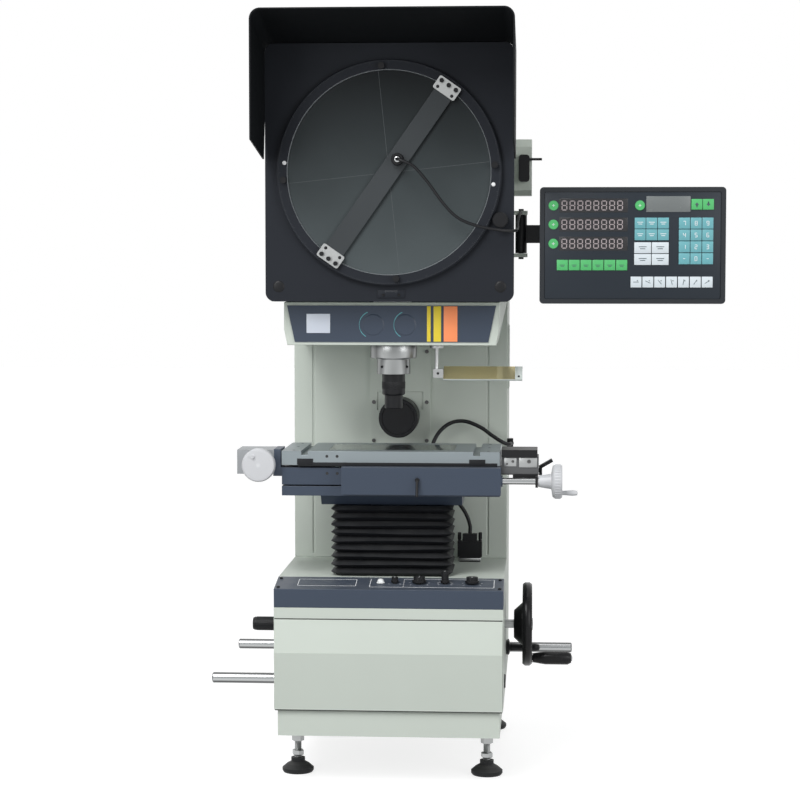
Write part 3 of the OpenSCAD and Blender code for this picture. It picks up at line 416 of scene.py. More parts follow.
lowest = pad_high.z * 1000 + 0.2
crests = int((stud_high.z * 1000 - lowest) / thread_pitch)
thread = [(thread_root + thread_depth * (k % 2), lowest + k * thread_pitch / 2) for k in range(2 * crests)]
bm = bmesh.new()
for foot in foot_places:
    turned(bm, [(0, lowest)] + thread + [(0, thread[-1][1])], foot, (0, 0, 1), 24)
    turned(bm, [(5.2, 58.1), (11, 58.1), (11, 59.6), (5.2, 59.6), (5.2, 58.1)], foot, (0, 0, 1), 24)
piece("stud_threads", bm, steel, "frame")
bm = bmesh.new()
for foot in foot_places:
    turned(bm, [(5.4, 27), (8.6, 27), (9.6, 28), (9.6, 34), (8.6, 35), (5.4, 35), (5.4, 27)], foot, (0, 0, 1),
           6)
piece("foot_lock_nuts", bm, steel, "frame", crease=20)

# Control panel: a folded lid in satin slate blue paint, screwed down at its ends.
# Its markings are printed in white; the four knobs are moulded and carry a white pointer line.
lid_depth = 62.0
lid_rise = 10.0
lid_front = 306.0
lid_slope = math.atan2(lid_rise, lid_depth)
lid_turn = Matrix.Rotation(lid_slope, 4, "X")
knob_row = 34.0
knob_low = lid_front + lid_rise * knob_row / lid_depth + 2
knob_skirt = 3
knob_ribs = 14
line = 1.1
print_thick = 0.16
lamp_frame_left = -30
print_frames = ((-142, -52, 18, 50), (lamp_frame_left, 22, 14, 54), (22, 162, 14, 54))
dials = (("power_knob", "power", 8, 6, 8, 3), ("contour_knob", "contour", 46, 11, 9, 7),
         ("dimmer_knob", "dimmer", 86, 7, 18, 11), ("surface_knob", "surface", 128, 11, 9, 7))
slate = surface("slate_coat", (0.038, 0.053, 0.081), 0.34, grain=1300.0, mottle=0.1, relief=0.06, wear=0.3,
                dust=0.22, shine=0.35)
dress(slate, "control_panel", soft=0.8)
black_plastic = surface("black_plastic", (0.008, 0.0085, 0.010), 0.34, grain=1800.0, mottle=0.15, relief=0.08,
                        dust=0.1, shine=0.2)
dress(black_plastic, "power_knob", "contour_knob", "dimmer_knob", "surface_knob")
print_white = surface("printed_white", (0.74, 0.75, 0.76), 0.5, relief=0.02)


def slab(bm, centre, size, roll=0.0, turn=None):
    """A block with rolled edges, its size in millimetres."""
    block = bmesh.new()
    bmesh.ops.create_cube(block, size=1)
    bmesh.ops.scale(block, vec=Vector(size) / 1000, verts=block.verts)
    if roll:
        bmesh.ops.bevel(block, geom=block.edges[:], offset=roll / 1000, segments=2, profile=0.5,
                        affect="EDGES")
    bmesh.ops.transform(block, matrix=Matrix.Translation(centre) @ (turn or Matrix()), verts=block.verts)
    holder = bpy.data.meshes.new("block")
    block.to_mesh(holder)
    block.free()
    bm.from_mesh(holder)
    bpy.data.meshes.remove(holder)


def rib_ring(bm, centre, axis, count, offset, size, roll):
    """Ribs round an axis, the first one an offset in metres away from the centre."""
    for k in range(count):
        turn = Matrix.Rotation(2 * math.pi * k / count, 4, axis)
        slab(bm, centre + turn.to_3x3() @ Vector(offset), size, roll, turn)


def screw(bm, place, axis, radius):
    """A socket head screw, its head's underside at a place."""
    high = radius * 0.7
    hole = radius * 0.52
    turned(bm, [(0, 0), (radius, 0), (radius, high - 0.3), (radius - 0.3, high), (hole, high),
                (hole * 0.96, high * 0.3), (0, high * 0.3)], place, axis, 18)


def screws(name, places, axis, radius, material, body="frame"):
    """A set of like screws that all point one way."""
    bm = bmesh.new()
    for place in places:
        screw(bm, place, axis, radius)
    piece(name, bm, material, body)


def on_lid(x, y):
    """A point on the sloping lid."""
    return at(x, y, lid_front + lid_rise * y / lid_depth)


bm = bmesh.new()
for left, right, near, far in print_frames:
    for y in (near, far):
        # The pilot lamp's frame is open at the back
        if (left, y) != (lamp_frame_left, far):
            slab(bm, on_lid((left + right) / 2, y), (right - left, line, print_thick), turn=lid_turn)
    for x in (left, right):
        slab(bm, on_lid(x, (near + far) / 2), (line, far - near, print_thick), turn=lid_turn)
for node, body, x, skirt, tall, marks in dials:
    reach = skirt + 4
    for k in range(marks):
        angle = math.radians(-120 + 240 * k / (marks - 1))
        slab(bm, on_lid(x + reach * math.sin(angle), knob_row + reach * math.cos(angle)),
             (0.8, 2.6, print_thick), turn=lid_turn @ Matrix.Rotation(-angle, 4, "Z"))
piece("panel_print", bm, print_white, "frame", smooth=False)

for node, body, x, skirt, tall, marks in dials:
    bm = bmesh.new()
    slab(bm, at(x, knob_row - skirt * 0.34, knob_low + tall + 0.1), (1.3, skirt * 0.66, 0.4), 0.1)
    piece(node + "_pointer", bm, print_white, body)
    bm = bmesh.new()
    rib_ring(bm, at(x, knob_row, knob_low + knob_skirt + (tall - knob_skirt) * 0.5), "Z", knob_ribs,
             (0, skirt * 0.77 / 1000, 0), (skirt * 0.16, skirt * 0.1, (tall - knob_skirt) * 0.9), 0.2)
    piece(node + "_ribs", bm, black_plastic, body)
screws("panel_screws", [on_lid(x, y) for x in (-171, 171) for y in (8, 52)],
       (0, -math.sin(lid_slope), math.cos(lid_slope)), 2.6, black_plastic)
lamp_cap = surface("pilot_lamp_cap", (0.80, 0.82, 0.82), 0.22, relief=0.02)
bm = bmesh.new()
turned(bm, [(0, 0), (6.4, 0), (6.4, 1.4), (5.2, 2.0), (4.9, 4.0), (3.6, 6.0), (1.6, 6.9), (0, 7.1)],
       on_lid(-14, knob_row), (0, 0, 1))
piece("pilot_lamp", bm, lamp_cap, "frame")

# Side fittings of the base: a ribbed plastic lamp knob on the left and a lock lever on the right.
# Chromed steel carrying rods screw into the base through black collars, and a plug closes the free hole.
rod_z = 148
side_x = 177
front_rod_y = 95
rear_rod_y = 396
dress(black_plastic, "left_knob", "z_lock")


def painted_reflection_metal(name, colour, roughness, mottle, relief, cast, bands, middle, edge):
    """Bright round metal with a painted reflection of a room: its colour runs in bands from the middle to the
    rim.
    """
    material = surface(name, colour, roughness, grain=2400.0, mottle=mottle, relief=relief, metallic=1.0)
    tree = material.node_tree
    rim = add(tree, "ShaderNodeLayerWeight", Blend=0.5)
    ramp = add(tree, "ShaderNodeValToRGB", [(rim.outputs["Facing"], "Fac")])
    for place, tone in bands:
        stop = ramp.color_ramp.elements.new(place)
        stop.color = (tone, tone * cast[0], tone * cast[1], 1)
    ramp.color_ramp.elements[0].color = (*middle, 1)
    ramp.color_ramp.elements[-1].color = (*edge, 1)
    tree.links.new(ramp.outputs["Color"], tree.nodes["grain"].inputs["Colour"])
    return material


# The chrome's colour holds painted reflection bands, dark towards the rims.
chrome = painted_reflection_metal("bright_rod", (0.62, 0.64, 0.65), 0.09, 0.06, 0.03, (1.02, 1.03),
                      ((0.10, 0.50), (0.26, 0.16), (0.40, 0.05), (0.60, 0.30)),
                      (0.34, 0.355, 0.36), (0.04, 0.045, 0.05))
dress(chrome, "carry_rods")
lamp_knob_low, lamp_knob_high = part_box("left_knob")
lamp_knob_axis = (lamp_knob_low + lamp_knob_high) / 2
bm = bmesh.new()
rib_ring(bm, Vector((lamp_knob_low.x + 0.03, lamp_knob_axis.y, lamp_knob_axis.z)), "X", 24, (0, 0, 0.011),
         (48, 1.1, 0.9), 0.25)
piece("left_knob_ribs", bm, black_plastic, "lamp_knob")
bm = bmesh.new()
for side, y in ((-1, front_rod_y), (-1, rear_rod_y), (1, rear_rod_y)):
    turned(bm, [(8.6, 0), (13.5, 0), (13.5, 2.2), (12.5, 3), (8.6, 3), (8.6, 0)], at(side * side_x, y, rod_z),
           (side, 0, 0))
piece("rod_collars", bm, black_plastic, "frame")
bm = bmesh.new()
turned(bm, [(0, 0), (11, 0), (11, 1.4), (10, 2.2), (0, 2.4)], at(side_x, front_rod_y, rod_z), (1, 0, 0))
piece("rod_hole_plug", bm, black_plastic, "frame")

# Focus drive: a moulded black phenolic handwheel keyed to a steel shaft, with a chromed hub cap.
# Its grip turns freely on a bolt, whose head shows at the grip's end.
hub_face_x = 218
phenolic = surface("black_phenolic", (0.007, 0.007, 0.008), 0.2, grain=1600.0, mottle=0.15, relief=0.04,
                   wear=0.2, shine=0.2)
dress(phenolic, "z_wheel", "z_grip", soft=0.5)
dress(steel, "z_shaft")
wheel_low, wheel_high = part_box("z_wheel")
grip_low, grip_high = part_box("z_grip")
bm = bmesh.new()
turned(bm, [(0, 0), (10, 0), (10, 2.5), (8.8, 3.4), (5, 3.4), (4.4, 2.4), (0, 2.4)],
       Vector((at(hub_face_x, 0, 0).x, (wheel_low.y + wheel_high.y) / 2, (wheel_low.z + wheel_high.z) / 2)),
       (1, 0, 0))
piece("focus_hub_cap", bm, chrome, "focus")
bm = bmesh.new()
turned(bm, [(0, 0), (4.6, 0), (4.6, 0.8), (3.6, 1.6), (0, 1.9)],
       Vector((grip_high.x, (grip_low.y + grip_high.y) / 2, (grip_low.z + grip_high.z) / 2)), (1, 0, 0))
piece("grip_end_screw", bm, chrome, "grip")

# Plug of the scale lead: a moulded plastic hood on a pressed steel shell.
# Two ribbed thumbscrews hold it in its socket on the base.
plug_x = 117
plug_y = 250
dress(black_plastic, "connectors", soft=0.6)
bm = bmesh.new()
slab(bm, at(plug_x, plug_y, 320), (37, 15, 5), 0.8)
piece("plug_shell", bm, steel, "frame")
bm = bmesh.new()
for x in (plug_x - 17, plug_x + 17):
    rib_ring(bm, at(x, plug_y, 358), "Z", 10, (0, 0.0027, 0), (0.8, 0.8, 10), 0.2)
piece("plug_thumbscrews", bm, black_plastic, "frame")

# Surface light: a black lamp tube that lights the work from above.
# It is carried by a coated plate, which six dulled steel screws hold on the column.
dress(black_plastic, "surface_light", soft=0.5)
dull_steel = surface("dull_steel", (0.12, 0.12, 0.12), 0.4, grain=2400.0, mottle=0.2, metallic=0.7)
screws("light_plate_screws", [at(x, 284, z) for x in (-44, 44) for z in (512, 576, 660)], (0, -1, 0), 3.2,
       dull_steel)

# Fascia of the cover: a slate blue panel let into the cover's front.
# Three stripes are printed on it, and a bare enamelled plate is glued to its left end.
# Two thin teal arcs on it are a painted highlight on the left edges of two round caps, which are not
# themselves built.
fascia_y = 70.4
stripe_z = 712.5
stripe_tall = 55.0
arc_radius = 21.0
arc_steps = 22
dress(slate, "cover_fascia")
stripe_yellow = surface("stripe_yellow", (0.80, 0.62, 0.04), 0.42, relief=0.03)
stripe_orange = surface("stripe_orange", (1.0, 0.31, 0.12), 0.42, relief=0.03)
for name, left, right, paint in (("stripe_thin", 55.7, 61.4, stripe_yellow),
                                 ("stripe_middle", 66, 77.6, stripe_yellow),
                                 ("stripe_wide", 81.7, 103, stripe_orange)):
    bm = bmesh.new()
    slab(bm, at((left + right) / 2, fascia_y, stripe_z), (right - left, 0.5, stripe_tall), 0.1)
    piece(name, bm, paint, "frame")
# The arcs are a painted highlight: the lit left edges of two round caps, drawn as teal lines.
arc_painted_highlight = surface("arc_painted_highlight", (0.10, 0.36, 0.40), 0.4, relief=0.0)
bm = bmesh.new()
for x in (-29, 25):
    middle = at(x, 70.3, 711)
    for first, last, wide in ((112, 158, 0.55), (158, 208, 0.3), (208, 240, 0.5)):
        steps = [math.radians(first + (last - first) * k / arc_steps) for k in range(arc_steps + 1)]
        section = ((arc_radius - wide, 0.15), (arc_radius - wide, -0.1), (arc_radius + wide, -0.1),
                   (arc_radius + wide, 0.15))
        rows = [[bm.verts.new(middle + Vector((reach * math.cos(a), lift, reach * math.sin(a))) / 1000)
                 for a in steps] for reach, lift in section]
        for k in range(4):
            for i in range(arc_steps):
                bm.faces.new((rows[k][i], rows[k][i + 1], rows[(k + 1) % 4][i + 1], rows[(k + 1) % 4][i]))
        bm.faces.new([row[0] for row in rows])
        bm.faces.new([row[-1] for row in rows])
piece("painted_highlight_arcs", bm, arc_painted_highlight, "frame", smooth=False)
plate_white = surface("plate_enamel", (0.66, 0.71, 0.80), 0.3, relief=0.02)
bm = bmesh.new()
slab(bm, at(-114, fascia_y, 713), (37, 1.2, 30), 0.5)
piece("bare_plate", bm, plate_white, "frame")

# Objective: a bright turned steel mount, screwed under the cover, with two grub screws.
# They hold a black anodised barrel with a ribbed gripping band and a coated front lens.
lens_y = 125
# The turned steel's colour holds painted reflection bands, dark towards the rims.
turned_steel = painted_reflection_metal("turned_steel", (0.4, 0.41, 0.41), 0.24, 0.1, 0.05, (1.03, 1.03),
                            ((0.16, 0.36), (0.34, 0.16), (0.55, 0.28)), (0.24, 0.25, 0.25),
                            (0.06, 0.063, 0.065))
dress(turned_steel, "lens_mount", soft=0.4)
anodised = surface("black_anodised", (0.008, 0.0085, 0.010), 0.24, grain=2600.0, mottle=0.1, relief=0.04,
                   wear=0.3, shine=0.22)
dress(anodised, "objective", soft=0.3)
bm = bmesh.new()
rib_ring(bm, at(0, lens_y, 614), "Z", 72, (0, 0.0182, 0), (0.9, 0.9, 11), 0.2)
piece("objective_grip_band", bm, anodised, "frame")
bm = bmesh.new()
screw(bm, at(-17, 104.8, 643.6), (-17, -20.3, 0), 2.0)
screw(bm, at(22, 110.4, 643.6), (22, -14.6, 0), 2.0)
piece("mount_grub_screws", bm, black_plastic, "frame")
coated_lens = surface("coated_lens", (0.05, 0.03, 0.09), 0.03, relief=0.0)
bm = bmesh.new()
turned(bm, [(0, 0.2), (7, 0.7), (11.2, 1.8), (11.2, 2.6), (0, 2.6)], at(0, lens_y, 577), (0, 0, 1))
piece("objective_front_lens", bm, coated_lens, "frame")

# Half mirror: a strip of glass with a gold-brown coating and polished edges.
# A steel arm carries it on a pivot screw, so that it swings under the objective.
mirror_tilt = Matrix.Rotation(math.radians(38), 4, "X")
mirror_middle = at(141, 125, 633)
dress(steel, "mirror_arm", soft=0.3)
gold_glass = surface("gold_coating", (0.78, 0.68, 0.42), 0.08, mottle=0.35, relief=0.0, metallic=0.85)
dress(gold_glass, "half_mirror")
edge_glass = surface("polished_edge", (0.55, 0.60, 0.58), 0.08, relief=0.0)


def on_mirror(x, y, z):
    """A point in metres from the mirror's middle, along its tilted sides."""
    return mirror_middle + mirror_tilt.to_3x3() @ Vector((x, y, z))


bm = bmesh.new()
slab(bm, on_mirror(0, -0.0158, 0), (124.6, 0.8, 2.8), 0.2, mirror_tilt)
slab(bm, on_mirror(0.0622, 0, 0), (0.8, 32, 2.8), 0.2, mirror_tilt)
slab(bm, on_mirror(0.0565, 0, 0.0011), (11, 30.6, 0.6), 0.1, mirror_tilt)
piece("mirror_edge", bm, edge_glass, "mirror")
bm = bmesh.new()
screw(bm, on_mirror(0.057, -0.009, 0.0014), mirror_tilt.to_3x3() @ Vector((0, 0, 1)), 1.8)
screw(bm, at(70.5, 118, 633), (0, -1, 0), 2.0)
piece("mirror_screws", bm, black_plastic, "mirror")

# Head: screen plate and hood in a fine textured black paint, the hood's dull inside against stray light.
# The plate carries the ring and is screwed to the head; caps close its lower screw holes.
plate_face = 27
hood_coat = surface("hood_coat", (0.0045, 0.0055, 0.0065), 0.55, grain=1500.0, mottle=0.2, relief=0.14,
                    wear=0.1, shine=0.12)
dress(hood_coat, "hood", soft=0.6)
black_coat = surface("black_texture_coat", (0.0205, 0.0230, 0.0285), 0.38, grain=1500.0, mottle=0.2,
                     relief=0.1, wear=0.12, shine=0.07)
dress(black_coat, "screen_plate", soft=0.6)
dress(black_coat, "screen_ring")
bm = bmesh.new()
for x in (-170.5, 170.5):
    turned(bm, [(0, 1.6), (6, 1.5), (8, 1.0), (9, 0), (0, -0.5)], at(x, plate_face, 771), (0, -1, 0))
piece("corner_caps", bm, black_plastic, "frame")

# Vernier: a small black painted plate under the ring, held by two screws.
# Its divisions are engraved and filled with white, and stand against the ring's degrees.
vernier_x = 3
vernier_pitch = 1.5
bm = bmesh.new()
slab(bm, at(vernier_x, 26.2, 760), (42, 1.6, 12), 0.4)
piece("vernier_plate", bm, black_coat, "frame")
screws("vernier_screws", [at(x, 25.4, 758.5) for x in (vernier_x - 12, vernier_x + 12)], (0, -1, 0), 2.1,
       black_plastic)
bm = bmesh.new()
for k in range(-6, 7):
    slab(bm, at(vernier_x + vernier_pitch * k, 25.35, 764), (0.22, 0.1, 2.4 if k % 6 else 3.4))
vernier_mark = surface("vernier_mark", (0.16, 0.17, 0.18), 0.5, relief=0.02)
piece("vernier_lines", bm, vernier_mark, "frame", smooth=False)

# Screen: ground glass in a turning black ring with a bright bead.
# The glass has painted shade of the hood at its top and painted light from the floor at its bottom.
# Crossed lines are etched in the glass and fine degrees in the ring, which has two white index pins.
screen_z = 945.0
ring_face = 17.7
glass_face = 20.7
marks_reach = 170.3
glass_painted_floor_light = (0.070, 0.084, 0.088, 1)
glass_painted_hood_shade = (0.0042, 0.0060, 0.0072, 1)
ground_glass = surface("ground_glass", (0.027, 0.034, 0.036), 0.3, grain=3000.0, mottle=0.5, relief=0.08,
                       shine=0.12)
screen_tree = ground_glass.node_tree
# Painted light and shade: by height, the glass's colour runs from painted floor light below to painted hood
# shade above.
screen_place = add(screen_tree, "ShaderNodeNewGeometry")
screen_height = add(screen_tree, "ShaderNodeSeparateXYZ", [(screen_place.outputs["Position"], 0)])
glass_painted_shade_ramp = add(screen_tree, "ShaderNodeMapRange", [(screen_height.outputs["Z"], "Value")], From_Min=0.79,
                  From_Max=1.10)
glass_painted_light_mix = add(screen_tree, "ShaderNodeMix", [(glass_painted_shade_ramp.outputs[0], "Factor")],
                  [(6, glass_painted_floor_light), (7, glass_painted_hood_shade)], data_type="RGBA")
screen_tree.links.new(glass_painted_light_mix.outputs[2], screen_tree.nodes["grain"].inputs["Colour"])
dress(ground_glass, "screen_glass")
dress(black_plastic, "ring_knobs", "screen_knob", "edge_sensor", soft=0.4)
bead = surface("ring_bead", (0.42, 0.45, 0.47), 0.3, metallic=0.7)
bm = bmesh.new()
turned(bm, [(155.2, 2.0), (155.5, 0.7), (156.3, -0.2), (156.9, 0.6), (156.9, 2.0), (155.2, 2.0)],
       at(0, ring_face, screen_z), (0, 1, 0), 180)
piece("ring_bead", bm, bead, "screen")
etched = surface("etched_line", (0.080, 0.090, 0.095), 0.6, relief=0.0)
bm = bmesh.new()
for turned_by in (-6, 84):
    slab(bm, at(0, glass_face, screen_z), (310, 0.12, 0.4),
         turn=Matrix.Rotation(math.radians(turned_by), 4, "Y"))
piece("cross_lines", bm, etched, "screen", smooth=False)
bm = bmesh.new()
for degree in range(360):
    long = 3.6 if degree % 10 == 0 else 2.6 if degree % 5 == 0 else 1.7
    turn = Matrix.Rotation(math.radians(degree), 4, "Y")
    outward = turn.to_3x3() @ Vector((0, 0, (marks_reach - long / 2) / 1000))
    slab(bm, at(0, ring_face, screen_z) + outward, (0.22, 0.1, long), turn=turn)
piece("degree_marks", bm, etched, "screen", smooth=False)
bm = bmesh.new()
for x, z in ((-160, 15), (159.5, -18.4)):
    turned(bm, [(0, 1.6), (1.8, 1.4), (3.0, 0.6), (3.2, 0), (0, -0.2)], at(x, ring_face, screen_z + z),
           (0, -1, 0))
piece("index_pins", bm, print_white, "screen")

# Overlay bar: a clear strip across the screen, held at both ends by steel clamps with black pins.
# It carries the edge sensor, whose lead comes out through a chromed tip.
bar_turn = Matrix.Rotation(math.radians(-55), 4, "Y")
clamp_face = 11.2
clamp_reach = 0.149
bar_glass = surface("bar_glass", (0.048, 0.054, 0.058), 0.16, relief=0.0, mottle=0.3, shine=0.15)
dress(bar_glass, "overlay_bar", soft=0.4)
dress(steel, "bar_clamps", soft=0.4)
bm = bmesh.new()
for side in (-1, 1):
    for across_bar in (-13, 13):
        spot = bar_turn.to_3x3() @ Vector((side * clamp_reach, 0, across_bar / 1000))
        turned(bm, [(0, 0.25), (2.2, 0.25), (2.6, 0), (0, -0.3)], at(0, clamp_face, screen_z) + spot,
               (0, -1, 0), 18)
piece("clamp_pins", bm, black_plastic, "screen")
bm = bmesh.new()
turned(bm, [(2.5, 3.4), (3.6, 3.2), (4.9, 2.3), (5.5, 1.0), (2.5, 0.9), (2.5, 3.4)], at(13.8, 4.2, 964.7),
       (0, -1, 0))
piece("sensor_tip", bm, chrome, "screen")

# Encoder box: a coated casting on the head's side, closed by two screws.
# A moulded black lever beside it clamps the screen.
dress(black_plastic, "screen_clamp", soft=0.8)
screws("encoder_screws", [at(211, 142, z) for z in (925, 990)], (1, 0, 0), 2.4, steel)

# Stage: a satin metal table with T-slots and a clear glass plate, on slate blue slides.
# Black wipers seal the ways, and the tapped holes for clamps in the table and the carriage are dark discs of
# painted shade.
table_metal = surface("stage_metal", (0.235, 0.27, 0.285), 0.34, grain=2400.0, mottle=0.12, relief=0.05,
                      metallic=0.55)
dress(table_metal, "stage_plate", soft=0.6)
dress(slate, "stage_base", "x_carriage", "scale_cover", soft=0.8)
dress(slate, "lift_column", soft=0.5)
clear_glass = surface("stage_glass", (0.86, 0.94, 0.93), 0.02, mottle=0.04, relief=0.0)
glass_shader = clear_glass.node_tree.nodes["Principled BSDF"]
glass_shader.inputs["Transmission Weight"].default_value = 1.0
glass_shader.inputs["IOR"].default_value = 1.5
dress(clear_glass, "stage_glass", "condenser_lens")
dress(black_plastic, "scale_lever")
# The holes are not cut: a dark colour on small discs is painted shade in their place.
hole_painted_shade = surface("tapped_hole", (0.01, 0.01, 0.01), 0.6)


def tapped_holes(name, places, axis, body):
    """Dark discs with a countersunk edge in place of tapped holes, their darkness a painted shade of the
    holes.
    """
    bm = bmesh.new()
    for place in places:
        turned(bm, [(0, 0.12), (1.5, 0.12), (2.1, 0.2), (2.3, 0), (0, -0.3)], place, axis, 18)
    piece(name, bm, hole_painted_shade, body)


wiper = surface("way_wiper", (0.010, 0.011, 0.013), 0.5, relief=0.08, shine=0.2)
bm = bmesh.new()
slab(bm, at(11, 48.7, 494.5), (310, 1.0, 6.0), 0.2)
for x in (-133, 135):
    slab(bm, at(x, 48.6, 498.5), (25, 1.2, 9.5), 0.3)
piece("table_wiper", bm, wiper, "table")
front_holes = (-99, -83)
tapped_holes("table_holes", [at(x, 49, 507) for x in front_holes], (0, -1, 0), "table")
tapped_holes("carriage_holes", [at(x, 52, 480) for x in front_holes], (0, -1, 0), "carriage")
tapped_holes("table_top_holes", [at(x, y, 515) for x in (-152, 152) for y in (64, 125, 186)], (0, 0, 1),
             "table")

# Cross feed: a steel bracket between two black caps, bolted to the carriage with two ground pads.
# A chromed rod runs through it to a ribbed white plastic handwheel.
bracket_bottom = 0.460
lower_cap_top = 0.4803
upper_cap_bottom = 0.5068
bracket_top = 0.520
cap_black = (0.012, 0.012, 0.013, 1)
bracket_grey = (0.115, 0.117, 0.12, 1)
bracket = surface("bracket_finish", (0.4, 0.4, 0.4), 0.36, relief=0.06, shine=0.2)
bracket_tree = bracket.node_tree
bracket_place = add(bracket_tree, "ShaderNodeTexCoord")
bracket_split = add(bracket_tree, "ShaderNodeSeparateXYZ", [(bracket_place.outputs["Object"], 0)])
bracket_height = add(bracket_tree, "ShaderNodeMapRange", [(bracket_split.outputs["Z"], "Value")],
                     From_Min=bracket_bottom, From_Max=bracket_top)
bracket_bands = add(bracket_tree, "ShaderNodeValToRGB", [(bracket_height.outputs[0], "Fac")])
bands = bracket_bands.color_ramp
bands.interpolation = "CONSTANT"
bands.elements[0].color = cap_black
bands.elements[1].position = (lower_cap_top - bracket_bottom) / (bracket_top - bracket_bottom)
bands.elements[1].color = bracket_grey
bands.elements.new((upper_cap_bottom - bracket_bottom) / (bracket_top - bracket_bottom)).color = cap_black
bracket_tree.links.new(bracket_bands.outputs["Color"], bracket_tree.nodes["grain"].inputs["Colour"])
dress(bracket, "drive_head", soft=0.6)
dress(chrome, "x_rod")
dress(black_plastic, "release_lever", soft=0.6)
white_plastic = surface("white_plastic", (0.56, 0.57, 0.59), 0.3, grain=1500.0, mottle=0.05, relief=0.04)
dress(white_plastic, "x_wheel", soft=0.4)
bm = bmesh.new()
rib_ring(bm, at(259.5, 41, 471), "X", 36, (0, 0, 0.0261), (9, 2.2, 1.4), 0.4)
piece("x_wheel_ribs", bm, white_plastic, "x_feed")
bm = bmesh.new()
for x, z, radius in ((215, 500, 3.0), (190, 500, 2.2), (181, 496, 1.6)):
    screw(bm, at(x, 58.9, z), (0, -1, 0), radius)
piece("bracket_screws", bm, dull_steel, "carriage")
bm = bmesh.new()
slab(bm, at(186, 59.6, 498.5), (19, 1.4, 13), 0.4)
slab(bm, at(213.5, 59.6, 498), (28, 1.4, 15), 0.4)
piece("bracket_pads", bm, steel, "carriage")

# Long feed: a pale grey painted casting on the stage's left, slate blue where it meets the slide.
# Its white plastic handwheel faces the user.
casting_grey = (0.33, 0.345, 0.36)
flank_slate = (0.042, 0.058, 0.088)
grey_casting = surface("grey_casting", casting_grey, 0.38, grain=900.0, mottle=0.12, relief=0.1)
flank_tree = grey_casting.node_tree
flank_place = add(flank_tree, "ShaderNodeTexCoord")
flank_split = add(flank_tree, "ShaderNodeSeparateXYZ", [(flank_place.outputs["Object"], 0)])
flank_step = add(flank_tree, "ShaderNodeMath", [(flank_split.outputs["X"], 0)], [(1, at(-182.7, 0, 0).x)],
                 operation="GREATER_THAN")
flank_tone = add(flank_tree, "ShaderNodeMix", [(flank_step.outputs[0], "Factor")],
                 [(6, (*casting_grey, 1)), (7, (*flank_slate, 1))], data_type="RGBA")
flank_tree.links.new(flank_tone.outputs[2], flank_tree.nodes["grain"].inputs["Colour"])
dress(grey_casting, "y_drive", soft=1.5)
dress(white_plastic, "y_wheel", soft=0.4)

# Bellows: pleated black rubberised cloth, clamped to the base below and to the stage above.
# On the machine it folds and opens as the stage falls and rises; here its skin is one fixed shape on no body.
# Its pleats sag a little unevenly.
pleats = 9
pleat_steps = 8
fold_depth = 0.010
corner_cut = 0.012
cloth_thick = 0.0012
sag = 0.0011
bellows_low, bellows_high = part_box("bellows")
bellows_tall = bellows_high.z - bellows_low.z
half_x = (bellows_high.x - bellows_low.x) / 2 - cloth_thick
half_y = (bellows_high.y - bellows_low.y) / 2 - cloth_thick
centre = (bellows_low + bellows_high) / 2
bellows_cloth = surface("bellows_cloth", (0.0075, 0.0085, 0.0105), 0.42, grain=1900.0, mottle=0.3,
                        relief=0.12, dust=0.12, shine=0.2)


def bellows_outline(inset):
    """Points round a rectangle with cut corners, with extra points along each side."""
    wide = half_x - inset
    deep = half_y - inset
    cut = corner_cut - inset * 0.4
    corners = [(wide, -deep + cut), (wide, deep - cut), (wide - cut, deep), (-wide + cut, deep),
               (-wide, deep - cut), (-wide, -deep + cut), (-wide + cut, -deep), (wide - cut, -deep)]
    points = []
    for i, a in enumerate(corners):
        b = corners[(i + 1) % len(corners)]
        steps = 14 if i % 2 == 0 else 3
        points += [(a[0] + (b[0] - a[0]) * k / steps, a[1] + (b[1] - a[1]) * k / steps) for k in range(steps)]
    return points


bm = bmesh.new()
rings = []
levels = pleat_steps * pleats
for level in range(levels + 1):
    phase = (level % pleat_steps) / pleat_steps
    fold = abs(1 - 2 * phase) ** 1.25
    ring = []
    for k, (x, y) in enumerate(bellows_outline(fold_depth * fold)):
        wave = math.sin(5.1 * k / 17 + 2.3 * (level // pleat_steps))
        sway = sag * (1 - fold) * wave * math.sin(math.pi * level / levels)
        ring.append(bm.verts.new((centre.x + x, centre.y + y,
                                  bellows_low.z + bellows_tall * level / levels + sway)))
    rings.append(ring)
for low, high in zip(rings, rings[1:]):
    for k in range(len(low)):
        bm.faces.new((low[k], low[(k + 1) % len(low)], high[(k + 1) % len(low)], high[k]))
bellows_skin = piece("bellows_skin", bm, bellows_cloth, crease=60)
bellows_skin.modifiers.new("cloth_thickness", "SOLIDIFY").thickness = cloth_thick
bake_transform(bellows_skin)
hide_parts("bellows")

# Rear cover: a louvred sheet of coated steel over the column's back.
# Six socket head screws along its sides hold it.
side_inset = 0.012
end_inset = 0.014
rear_low, rear_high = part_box("rear_cover")
rear_span = rear_high.z - rear_low.z - 2 * end_inset
screws("rear_cover_screws", [Vector((x, rear_high.y, rear_low.z + end_inset + rear_span * k / 2))
                             for x in (rear_low.x + side_inset, rear_high.x - side_inset) for k in range(3)],
       (0, 1, 0), 3.2, dull_steel)

# Inner pieces: the lamp house of blackened sheet in the base, and the folding mirrors in the column and head.
# The mirrors are silvered glass on wedges; all of them are hidden by the covers.
lamp_metal = surface("lamp_metal", (0.05, 0.05, 0.05), 0.6)
dress(lamp_metal, "lamp_house")
silvering = surface("silvering", (0.8, 0.82, 0.85), 0.04, relief=0.0, metallic=1.0)
dress(silvering, "fold_mirrors")

